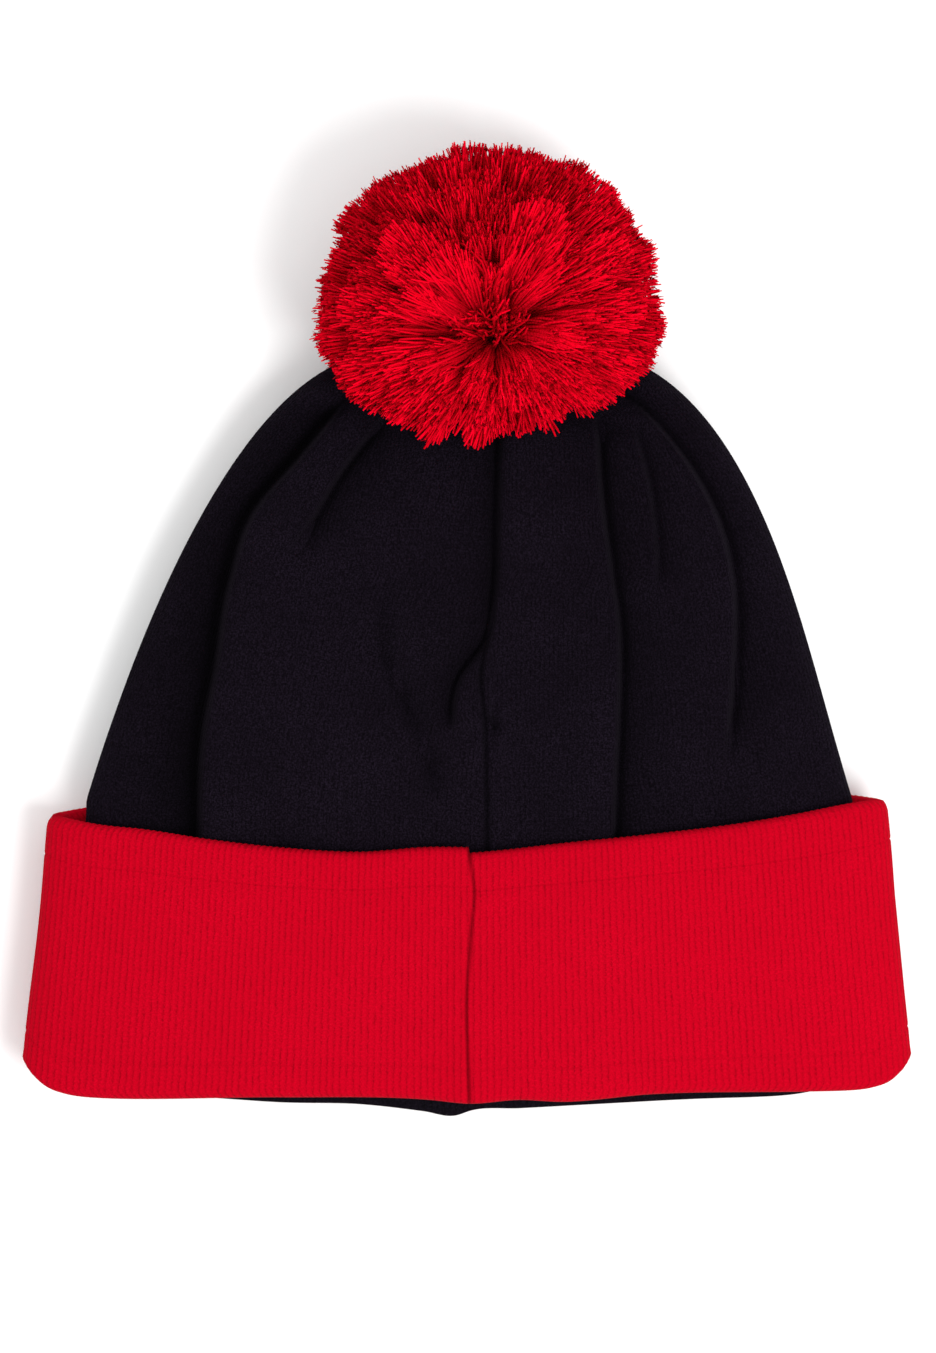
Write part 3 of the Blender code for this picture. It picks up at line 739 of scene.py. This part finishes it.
def knit_material(name, dark, base, light, groove_share, stitch_share, sheen, tint, stitch_bump):
    """Plain-knit cloth: thin broken lines between the wales, faint V stitches and a fuzz of fibres, with
    painted shade where the knit sinks and in creases.
    """
    nodes = Nodes(name)
    wale, course = nodes.uv("knit")
    wobble = nodes.times(nodes.minus(nodes.noise(420.0), 0.5), 0.45)
    across = nodes.math("FRACT", nodes.plus(wale, wobble))
    off_centre = nodes.math("ABSOLUTE", nodes.minus(across, 0.5))
    slant = nodes.times(off_centre, 1.3)
    phase = nodes.times(nodes.plus(course, slant), 2 * math.pi)
    arm = nodes.times(nodes.plus(nodes.math("SINE", phase), 1.0), 0.5 * stitch_share)
    line = nodes.math("POWER", nodes.times(off_centre, 2.0), 3.0)
    strand = nodes.add("ShaderNodeCombineXYZ")
    nodes.link(wale, strand.inputs[0])
    nodes.link(nodes.times(course, 0.22), strand.inputs[1])
    broken = nodes.noise(1.7, 3.0, strand.outputs[0])
    share = nodes.times(nodes.minus(broken, 0.14), 1.8, clamp=True)
    groove = nodes.times(nodes.times(line, share), groove_share)
    fibre = nodes.noise(2300.0, 4.0)
    speck = nodes.times(nodes.minus(fibre, 0.44), 4.5, clamp=True)
    # Painted shade: the colour turns dark where the lines between the wales and the V stitches sink.
    sunk_share = nodes.plus(groove, nodes.times(arm, 0.6), clamp=True)
    shade = nodes.mix(sunk_share, base, dark)
    cloud = nodes.plus(nodes.times(nodes.noise(45.0, 3.0), 0.8), 0.1)
    colour = nodes.mix(nodes.times(speck, cloud, clamp=True), shade, light)
    # Painted shade: the crease attribute darkens the colour towards near-black in creases, seams, the valley
    # and the pinch.
    crease = nodes.add("ShaderNodeAttribute", attribute_name="crease").outputs["Fac"]
    sunk = tuple(channel * 0.18 for channel in dark)
    colour = nodes.mix(nodes.times(crease, 0.92), colour, sunk)
    nodes.surface(colour, Roughness=0.95, Specular_IOR_Level=0.03, Sheen_Weight=sheen,
                  Sheen_Roughness=0.55, Sheen_Tint=(*tint, 1.0))
    height = nodes.minus(nodes.times(fibre, 0.9), nodes.plus(groove, arm))
    nodes.bump(height, 0.7, stitch_bump)
    return nodes.material


def yarn_material(name, deep, base, light, sheen, tint):
    """Cut yarn: painted shade towards the root, painted light on the tips, each strand of its own tone, with
    a fine twist.
    """
    nodes = Nodes(name)
    strand, run = nodes.uv("yarn")
    # Painted shade: the colour darkens towards each strand's root, inside the ball.
    root = nodes.math("POWER", run, 1.7)
    shade = nodes.mix(root, deep, base)
    tone = nodes.math("FRACT", nodes.times(strand, 7.0))
    other_tone = nodes.math("FRACT", nodes.times(strand, 23.0))
    shade = nodes.mix(nodes.times(other_tone, 0.38), shade, deep)
    fibre = nodes.noise(2200.0, 3.0)
    # Painted light: random strands and fibres turn lighter, more so towards the tips.
    lit = nodes.times(nodes.times(tone, fibre), nodes.times(root, 1.8), clamp=True)
    colour = nodes.mix(lit, shade, light)
    twist = nodes.math("SINE", nodes.times(run, 160.0))
    height = nodes.plus(nodes.times(twist, 0.3), fibre)
    nodes.surface(colour, Roughness=0.85, Specular_IOR_Level=0.02, Sheen_Weight=sheen,
                  Sheen_Roughness=0.5, Sheen_Tint=(*tint, 1.0))
    nodes.bump(height, 0.6, 0.0003)
    return nodes.material


def thread_material(name, colour, light, pitch):
    """Twisted thread: fine slanting bands of light and shade."""
    nodes = Nodes(name)
    place = nodes.add("ShaderNodeTexCoord").outputs["Object"]
    wave = nodes.add("ShaderNodeTexWave", bands_direction="DIAGONAL")
    wave.inputs["Scale"].default_value = pitch
    wave.inputs["Distortion"].default_value = 0.6
    nodes.link(place, wave.inputs["Vector"])
    nodes.surface(nodes.mix(wave.outputs["Fac"], colour, light), Roughness=0.8, Specular_IOR_Level=0.08)
    nodes.bump(wave.outputs["Fac"], 0.5, 0.0002)
    return nodes.material


def tape_material():
    """Blank woven satin tape, with a fine plain weave."""
    nodes = Nodes("white_tape_look")
    place = nodes.add("ShaderNodeTexCoord").outputs["Object"]
    checker = nodes.add("ShaderNodeTexChecker")
    checker.inputs["Scale"].default_value = 3200.0
    nodes.link(place, checker.inputs["Vector"])
    stain = nodes.noise(180.0)
    weave = nodes.mix(checker.outputs["Fac"], (0.62, 0.61, 0.58), (0.80, 0.79, 0.76))
    colour = nodes.mix(nodes.times(stain, 0.3), weave, (0.70, 0.68, 0.62))
    nodes.surface(colour, Roughness=0.45, Sheen_Weight=0.2)
    nodes.bump(checker.outputs["Fac"], 0.4, 0.0001)
    return nodes.material


def dress(piece, material):
    piece.data.materials.clear()
    piece.data.materials.append(material)


def dress_node(node, material):
    """Give a CAD node that stays a better finish, through its object's own material slot."""
    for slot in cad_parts[node].material_slots:
        slot.link = "OBJECT"
        slot.material = material


# -------- pom-pom

def swung(points, nods):
    """The same points of the pom-pom at a spread of its sway and the given nods, in turn."""
    for sway in np.linspace(-POM_SWAY, POM_SWAY, 7):
        for nod in nods:
            x, y, z = np.moveaxis(points - PIVOT, -1, 0)
            y, z = y * math.cos(nod) - z * math.sin(nod), y * math.sin(nod) + z * math.cos(nod)
            x, y = x * math.cos(sway) - y * math.sin(sway), x * math.sin(sway) + y * math.cos(sway)
            yield np.stack([x, y, z], -1) + PIVOT


def meets_crown(points, above, beside, nods):
    """Which points come within a margin of the crown at some sway and nod."""
    meets = np.zeros(points.shape[:-1], dtype=bool)
    for moved in swung(points, nods):
        x, y, z = np.moveaxis(moved, -1, 0)
        station = np.clip((y - RIM_Y) / (TIP_Y - RIM_Y), -0.6, 1.0)
        centre_x, centre_z = body_centre(station)
        across = np.abs(x - centre_x) / (body_half_width(station) + beside)
        upright = np.abs(z - centre_z) / (body_half_depth(station, 0.0) + above)
        meets |= (across ** FLATNESS + upright ** FLATNESS < 1) & (y < TIP_Y + beside)
    return meets


class CrownClearance:
    """The lowest height, over each spot, at which yarn can sway without touching the crown's upper wall."""

    def __init__(self):
        self.x = np.linspace(-0.062, 0.072, 54)
        self.y = np.linspace(0.030, 0.110, 33)
        z = np.linspace(BODY_CROWN_CENTRE_Z, 0.056, 56)
        grid = np.stack(np.meshgrid(self.x, self.y, z, indexing="ij"), -1)
        meets = meets_crown(grid, 2.6 * MM, 1.0 * MM, (0.0,))
        self.height = np.where(meets, z[None, None, :] + 0.8 * MM, -1.0).max(axis=2)

    def at(self, x, y):
        column = np.clip((x - self.x[0]) / (self.x[1] - self.x[0]), 0, len(self.x) - 1.001)
        row = np.clip((y - self.y[0]) / (self.y[1] - self.y[0]), 0, len(self.y) - 1.001)
        i, j = column.astype(int), row.astype(int)
        u, v = column - i, row - j
        near = self.height[i, j] * (1 - v) + self.height[i, j + 1] * v
        far = self.height[i + 1, j] * (1 - v) + self.height[i + 1, j + 1] * v
        return near * (1 - u) + far * u


def even_directions(count, rng):
    k = np.arange(count) + 0.5
    z = 1 - 2 * k / count
    angle = math.pi * (1 + 5 ** 0.5) * k
    flat = np.sqrt(1 - z * z)
    points = np.stack([flat * np.cos(angle), flat * np.sin(angle), z], -1)
    return points + rng.normal(0, 0.02, points.shape)


def unit(vectors):
    return vectors / np.linalg.norm(vectors, axis=-1, keepdims=True)


def tube_mesh(name, centres, radii, sides, strand_ids):
    """Many tapered strands as one mesh: centres (n, s, 3), radii (n, s)."""
    count, steps = centres.shape[:2]
    tangent = unit(np.gradient(centres, axis=1))
    mean = unit(centres[:, -1] - centres[:, 0])
    helper = np.where(np.abs(mean[:, 2:3]) < 0.8, np.array([[0.0, 0.0, 1.0]]), np.array([[1.0, 0.0, 0.0]]))
    first = unit(np.cross(tangent, helper[:, None, :]))
    second = np.cross(tangent, first)
    angle = 2 * math.pi * np.arange(sides) / sides
    ring = (first[:, :, None, :] * np.cos(angle)[None, None, :, None]
            + second[:, :, None, :] * np.sin(angle)[None, None, :, None])
    points = centres[:, :, None, :] + ring * radii[:, :, None, None]
    n, s, k = np.meshgrid(np.arange(count), np.arange(steps - 1), np.arange(sides), indexing="ij")
    base = n * steps * sides
    k_next = (k + 1) % sides
    quads = corner_points(base + s * sides, base + (s + 1) * sides, k, k_next)
    u = strand_ids[n]
    uvs = corner_uvs(u, u, s / (steps - 1), (s + 1) / (steps - 1))
    return quad_mesh(name, points.reshape(-1, 3), quads.reshape(-1, 4)[:, ::-1], "yarn",
                     uvs.reshape(-1, 4, 2)[:, ::-1])


def ball_height(x, y):
    """Height of the ball's upper surface over (x, y), falling away gently beyond its outline."""
    below = np.clip((POM_CENTRE[1] - y) / POM_RADII[1], 0, 1)
    across = (x - POM_CENTRE[0]) / (POM_RADII[0] * (1 + LOW_SPREAD * below))
    out = across ** 2 + ((y - POM_CENTRE[1]) / POM_RADII[1]) ** 2
    return POM_CENTRE[2] + POM_RADII[2] * np.sqrt(np.clip(1 - out, 0, 1)) - 0.010 * np.clip(out - 0.9, 0, 1)


def outer_tips(rng, count):
    """Tips of the yarns that make the ball's round surface, gathered into tufts."""
    direction = unit(rng.normal(0, 1, (count, 3)))
    tufts = unit(even_directions(TUFTS, rng))
    nearest = np.argmax(direction @ tufts.T, axis=1)
    turned = unit(direction * 0.62 + tufts[nearest] * 0.38)
    length = 0.965 + rng.normal(0, 0.024, TUFTS)[nearest] + rng.normal(0, 0.012, count)
    turned[:, 0] *= 1 + LOW_SPREAD * np.clip(-turned[:, 1], 0, 1)
    return POM_CENTRE + turned * POM_RADII * length[:, None]


def arched(start, middle, end, t):
    """Curves from start to end, drawn towards the middle point on the way."""
    start, middle, end = start[:, None, :], middle[:, None, :], end[:, None, :]
    return start * (1 - t) ** 2 + 2 * middle * t * (1 - t) + end * t ** 2


def petal_yarns(rng, petals, each, steps):
    """Fans of yarn that rise from the crater in tight bundles and spread into rounded petals."""
    curves = []
    for degrees, reach, half_width, stand in petals:
        count = int(each * (0.35 + 0.65 * reach / 0.038))
        place = np.tanh(rng.normal(0, 0.75, count))
        layer = rng.uniform(0, 1, count)
        middle = math.radians(degrees)
        angle = middle + np.radians(place * half_width * 1.15)
        run = reach * (1 - 0.20 * place ** 2) * (1 - 0.34 * layer ** 2.6)
        x = TIE[0] + run * np.cos(angle)
        y = TIE[1] + run * np.sin(angle)
        rise = (ball_height(x, y) - POM_CENTRE[2]) * stand
        z = POM_CENTRE[2] + rise - 7.0 * MM * place ** 2 - 3.0 * MM * layer
        tips = np.stack([x, y, z], -1) + rng.normal(0, 0.7 * MM, (count, 3))
        heading = np.array((math.cos(middle), math.sin(middle), 0.0))
        across = np.array((-math.sin(middle), math.cos(middle), 0.0))
        bundle = 0.15 * reach * math.radians(half_width) * place[:, None] * across
        start = TIE + heading * 2.4 * MM + bundle + rng.normal(0, 0.5 * MM, (count, 3))
        climb = np.clip(tips[:, 2:3] - TIE[2], 0.006, 0.032)
        up = np.array([[0, 0, 1.0]]) * climb * (0.95 - 0.35 * layer[:, None])
        bend = TIE + heading * reach * 0.24 + bundle * 2.0 + up + rng.normal(0, 1.0 * MM, (count, 3))
        t = np.linspace(0.02, 1, steps)[None, :, None]
        headings = np.repeat(heading[None, :], count, axis=0)
        curves.append(curled(rng, arched(start, bend, tips, t), headings, 1.25 * MM))
    return np.concatenate(curves)


def heart_yarns(rng, count, steps):
    """Short yarns that stand up and twist in the crater."""
    start = TIE + rng.normal(0, 1.5 * MM, (count, 3)) * (1, 1, 0.3)
    lean = rng.normal(0, 1, (count, 3)) * (0.0050, 0.0050, 0.0030) + (0.0005, 0.0065, 0.0170)
    t = np.linspace(0.0, 1, steps)[None, :, None]
    curve = start[:, None, :] + lean[:, None, :] * t + rng.normal(0, 2.2 * MM, (count, 1, 3)) * t * t
    return curled(rng, curve, unit(lean), 1.3 * MM)


def radial_yarns(rng, tips, steps):
    """Centre lines that run outwards from the heart of the ball."""
    count = len(tips)
    heart = POM_CENTRE * 0.6 + TIE * 0.4
    start = heart + (tips - heart) * 0.08
    middle = (start + tips) / 2 + rng.normal(0, 1.3 * MM, (count, 3))
    t = np.linspace(0.0, 1, steps)[None, :, None]
    return curled(rng, arched(start, middle, tips, t), unit(tips - heart), 1.5 * MM)


def curled(rng, curve, direction, amount):
    """Add the slight waves of soft yarn to centre lines."""
    count, steps = curve.shape[:2]
    side = unit(np.cross(direction, rng.normal(0, 1, direction.shape)))
    t = np.linspace(0, 1, steps)[None, :, None]
    turns = rng.uniform(0.8, 2.6, count)[:, None, None]
    wave = np.sin(t * math.pi * turns) * (0.2 + 0.8 * t)
    return curve + side[:, None, :] * wave * rng.normal(0, amount, count)[:, None, None]


def settle(centres, margin, clearance):
    """Keep strands above the table, and high enough over the crown for every sway."""
    x, y, z = centres[..., 0], centres[..., 1], centres[..., 2]
    z = np.maximum(z, margin + FLOOR_GAP)
    z = np.where(z > BODY_CROWN_CENTRE_Z, np.maximum(z, clearance.at(x, y) + margin), z)
    return np.stack([x, y, z], -1)


def cut_short(centres, above, beside):
    """Trim each yarn where it would first meet the crown as the ball sways; drop those left very short.

    Returns the trimmed yarns and which of the given ones they are.
    """
    steps = centres.shape[1]
    fine_steps = 33
    place = np.linspace(0, steps - 1, fine_steps)
    low = np.minimum(place.astype(int), steps - 2)
    share = (place - low)[None, :, None]
    fine = centres[:, low] * (1 - share) + centres[:, low + 1] * share
    meets = meets_crown(fine, above, beside, (0.0,))
    first = np.where(meets.any(axis=1), meets.argmax(axis=1) - 1, fine_steps - 1)
    keep = first > 0.22 * fine_steps
    fine, first = fine[keep], first[keep]
    at = np.linspace(0, 1, steps)[None, :] * first[:, None]
    low = np.minimum(at.astype(int), fine_steps - 2)
    share = (at - low)[..., None]
    row = np.arange(len(fine))[:, None]
    return fine[row, low] * (1 - share) + fine[row, low + 1] * share, keep


def plied(rng, centres):
    """Split each yarn into plies that twist round it and come apart towards the tip."""
    count, steps = centres.shape[:2]
    tangent = unit(np.gradient(centres, axis=1))
    helper = unit(rng.normal(0, 1, (count, 1, 3)))
    first = unit(np.cross(tangent, helper))
    second = np.cross(tangent, first)
    t = np.linspace(0, 1, steps)
    spread = PLY_SPREAD * (1 + 1.9 * t ** 5)
    plies = []
    for ply in range(PLIES):
        rng.uniform(0, 6.28, (count, 1))  # Not used; drawn so that the draws after it stay the same.
        turn = 2 * math.pi * ply / PLIES + 5.0 * t[None, :]
        offset = first * np.cos(turn)[..., None] + second * np.sin(turn)[..., None]
        loose = rng.normal(0, 0.50 * MM, (count, 1, 3)) * (t ** 4)[None, :, None]
        plies.append(centres + offset * spread[None, :, None] + loose)
    return np.concatenate(plies)


def pom_pom():
    """The yarn ball: families of strands with frayed tips; yarn that a nod would press comes last."""
    rng = np.random.default_rng(POM_SEED)
    clearance = CrownClearance()
    pieces, pressed = [], []

    def family(name, centres, sides, lies_on_crown):
        if lies_on_crown:
            centres = settle(centres, PLY_RADIUS, clearance)
        centres[..., 2] = np.maximum(centres[..., 2], PLY_RADIUS + FLOOR_GAP)
        centres, _ = cut_short(centres, *YARN_MARGIN)
        nodding = meets_crown(centres, *YARN_NOD_MARGIN, NODS).any(axis=1)
        pressed.append(centres[nodding][:, np.linspace(0, centres.shape[1] - 1, 7).round().astype(int)])
        strands(name, centres[~nodding], sides, NODS)

    def strands(name, centres, sides, nods=()):
        steps = centres.shape[1]
        fibres = plied(rng, centres)
        fibres[..., 2] = np.maximum(fibres[..., 2], PLY_RADIUS + FLOOR_GAP)
        ids = np.tile(rng.uniform(0, 1, len(centres)), PLIES)
        fibres, kept = cut_short(fibres, *PLY_MARGIN)
        fibre_ids = ids[kept]
        if nods:
            clear = ~meets_crown(fibres, *PLY_NOD_MARGIN, nods).any(axis=1)
            fibres, fibre_ids = fibres[clear], fibre_ids[clear]
        taper = np.interp(np.linspace(0, 1, steps), [0, 0.25, 0.85, 1.0], [0.6, 1.0, 1.05, 0.65])
        radii = PLY_RADIUS * taper[None, :] * rng.uniform(0.85, 1.25, (len(fibres), 1))
        pieces.append(tube_mesh(name, fibres, radii, sides, fibre_ids))
        fray(name + "_fray", centres, ids[:len(centres)], (0.0, *nods))

    def fray(name, centres, ids, nods, fibres=3):
        count = len(centres)
        outward = unit(centres[:, -1] - centres[:, -2])
        start = np.repeat(centres[:, -1] - outward * 1.2 * MM, fibres, axis=0)
        lean = unit(np.repeat(outward, fibres, axis=0) + rng.normal(0, 0.50, (count * fibres, 3)))
        length = rng.uniform(0.8, 1.9, (count * fibres, 1)) * MM
        t = np.linspace(0, 1, 3)[None, :, None]
        droop = rng.normal(0, 0.3, (count * fibres, 3)) * MM
        lines = start[:, None, :] + lean[:, None, :] * length[:, None, :] * t + droop[:, None, :] * t * t
        lines[..., 2] = np.maximum(lines[..., 2], 0.0006)
        clear = ~meets_crown(lines, *FRAY_MARGIN, nods).any(axis=1)
        lines, ids = lines[clear], np.repeat(ids, fibres)[clear]
        radii = np.array([[0.00022, 0.00016, 0.00006]]).repeat(len(lines), axis=0)
        pieces.append(tube_mesh(name, lines, radii, 3, ids))

    outer = outer_tips(rng, OUTER_YARNS)
    from_crater = np.hypot(outer[:, 0] - TIE[0], outer[:, 1] - TIE[1])
    above = outer[:, 2] > TIE[2]
    sunk = np.where(above, CRATER_SINK * smooth_step((CRATER_LIP - from_crater) / CRATER_SLOPE), 0.0)
    outer = POM_CENTRE + (outer - POM_CENTRE) * (1 - sunk[:, None])
    outer = outer[~(above & (from_crater < CRATER_RADIUS))]
    behind = outer[:, 2] < POM_CENTRE[2]
    family("pom_back_strands", radial_yarns(rng, outer[behind], 7), 3, False)
    family("pom_outer_strands", radial_yarns(rng, outer[~behind], 7), 3, False)
    family("pom_upper_petals", petal_yarns(rng, UPPER_PETALS, UPPER_YARNS_EACH, 9), 4, True)
    family("pom_heart_strands", heart_yarns(rng, HEART_YARNS, 9), 4, True)
    family("pom_lower_petals", petal_yarns(rng, LOWER_PETALS, LOWER_YARNS_EACH, 9), 4, True)
    strands("pom_pressed_strands", np.concatenate(pressed), 4)
    return pieces


# -------- stage, light and camera

def stage():
    bpy.ops.mesh.primitive_plane_add(size=6.0, location=(0, 0, -0.0002))
    floor = bpy.context.object
    floor.name = "floor"
    nodes = Nodes("floor_look")
    cloud = nodes.noise(3.0)
    nodes.surface(nodes.mix(cloud, (0.90, 0.90, 0.90), (0.93, 0.93, 0.93)), Roughness=0.9)
    dress(floor, nodes.material)


# Place, target, size and power of each lamp.
LAMPS = {"key": ((0.50, -0.40, 1.25), (0, 0, 0.02), 0.60, 12.5),
         "top_fill": ((-0.2, 0.3, 1.6), (0, 0, 0.0), 1.6, 4.0)}
SKY_STRENGTH = 0.98


def area_light(name, place, target, size, power):
    data = bpy.data.lights.new(name, "AREA")
    data.shape = "DISK"
    data.size = size
    data.energy = power
    lamp = add_object(name, data)
    lamp.location = place
    lamp.rotation_euler = (Vector(target) - Vector(place)).to_track_quat("-Z", "Y").to_euler()


def light():
    scene = bpy.context.scene
    world = bpy.data.worlds.new("studio")
    scene.world = world
    world.use_nodes = True
    background = world.node_tree.nodes["Background"]
    background.inputs["Color"].default_value = (1.0, 1.0, 1.0, 1.0)
    background.inputs["Strength"].default_value = SKY_STRENGTH
    for name, values in LAMPS.items():
        area_light(name, *values)
    scene.view_settings.view_transform = "Standard"
    scene.view_settings.look = "None"


CAMERA_HEIGHT, FRAME_HEIGHT = 2.0, 0.3661
SENSOR_WIDTH = 36.0
FRAME_CENTRE = (0.0001, -0.0130)


def camera():
    data = bpy.data.cameras.new("camera")
    data.sensor_fit = "AUTO"
    data.sensor_width = SENSOR_WIDTH
    data.lens = SENSOR_WIDTH * (CAMERA_HEIGHT - BODY_HEM_CENTRE_Z) / FRAME_HEIGHT
    data.clip_end = 20.0
    eye = add_object("camera", data)
    eye.location = (*FRAME_CENTRE, CAMERA_HEIGHT)
    bpy.context.scene.camera = eye


def build():
    camera()
    stage()
    light()
    black = knit_material("black_knit_look", (0.0006, 0.0003, 0.0008), (0.0028, 0.0016, 0.0034),
                          (0.0140, 0.0092, 0.0180), 0.95, 0.50, 0.015, (0.62, 0.50, 0.70), 0.00026)
    lining_black = knit_material("black_lining_look", (0.0008, 0.0005, 0.0010), (0.0032, 0.0021, 0.0040),
                                 (0.0120, 0.0085, 0.0145), 0.90, 0.45, 0.015, (0.62, 0.55, 0.68), 0.00016)
    red = knit_material("red_knit_look", (0.145, 0.0, 0.0025), (0.405, 0.0, 0.0085),
                        (0.53, 0.0, 0.0135), 0.72, 0.22, 0.0, (1.0, 0.2, 0.3), 0.00016)
    yarn = yarn_material("red_yarn_look", (0.155, 0.0, 0.0018), (0.60, 0.0, 0.0075),
                         (1.0, 0.0, 0.020), 0.0, (1.0, 0.2, 0.25))
    black_thread = thread_material("black_thread_look", (0.006, 0.005, 0.007), (0.022, 0.020, 0.024), 900.0)
    red_thread = thread_material("red_thread_look", (0.42, 0.001, 0.008), (0.75, 0.01, 0.03), 700.0)
    tape = tape_material()

    crown = knitted_body("crown_knit", 0.0, SHELL_THICKNESS, 0.8 * MM, BODY_WALES, BODY_WALE_STEPS,
                         76, 8, BODY_WALE_RELIEF)
    dress(crown, black)
    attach(crown, "crown")
    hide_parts("crown_shell")

    lining = knitted_body("lining_knit", LINING_INSET, LINING_THICKNESS, 0.0, LINING_WALES,
                          LINING_WALE_STEPS, 60, 30, 0.00008)
    dress(lining, lining_black)
    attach(lining, "crown")
    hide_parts("lining_shell")

    cuff = cuff_band()
    dress(cuff, red)
    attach(cuff, "cuff")
    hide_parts("cuff_band")

    for k, piece in enumerate(pom_pom()):
        dress(piece, yarn)
        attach(piece, "pom")
        if k == 0:
            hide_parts("pom_yarn_ball")
        if piece.name.startswith("pom_pressed"):
            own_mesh(piece)

    for node, side in (("shell_back_seam", -1), ("lining_back_seam", 1)):
        strip = seam_allowance(node.replace("_seam", "_overlock"), side)
        dress(strip, black_thread)
        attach(strip, "crown")
        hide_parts(node)
    stitches = hem_stitches()
    dress(stitches, black_thread)
    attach(stitches, "crown")
    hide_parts("hem_linking_thread")
    for node in ("shell_gather_thread", "lining_gather_thread", "label_stitch"):
        dress_node(node, black_thread)
    for node in ("cuff_back_seam", "pom_anchor_knot", "pom_tie_cord"):
        dress_node(node, red_thread)
    dress_node("care_label", tape)


build()
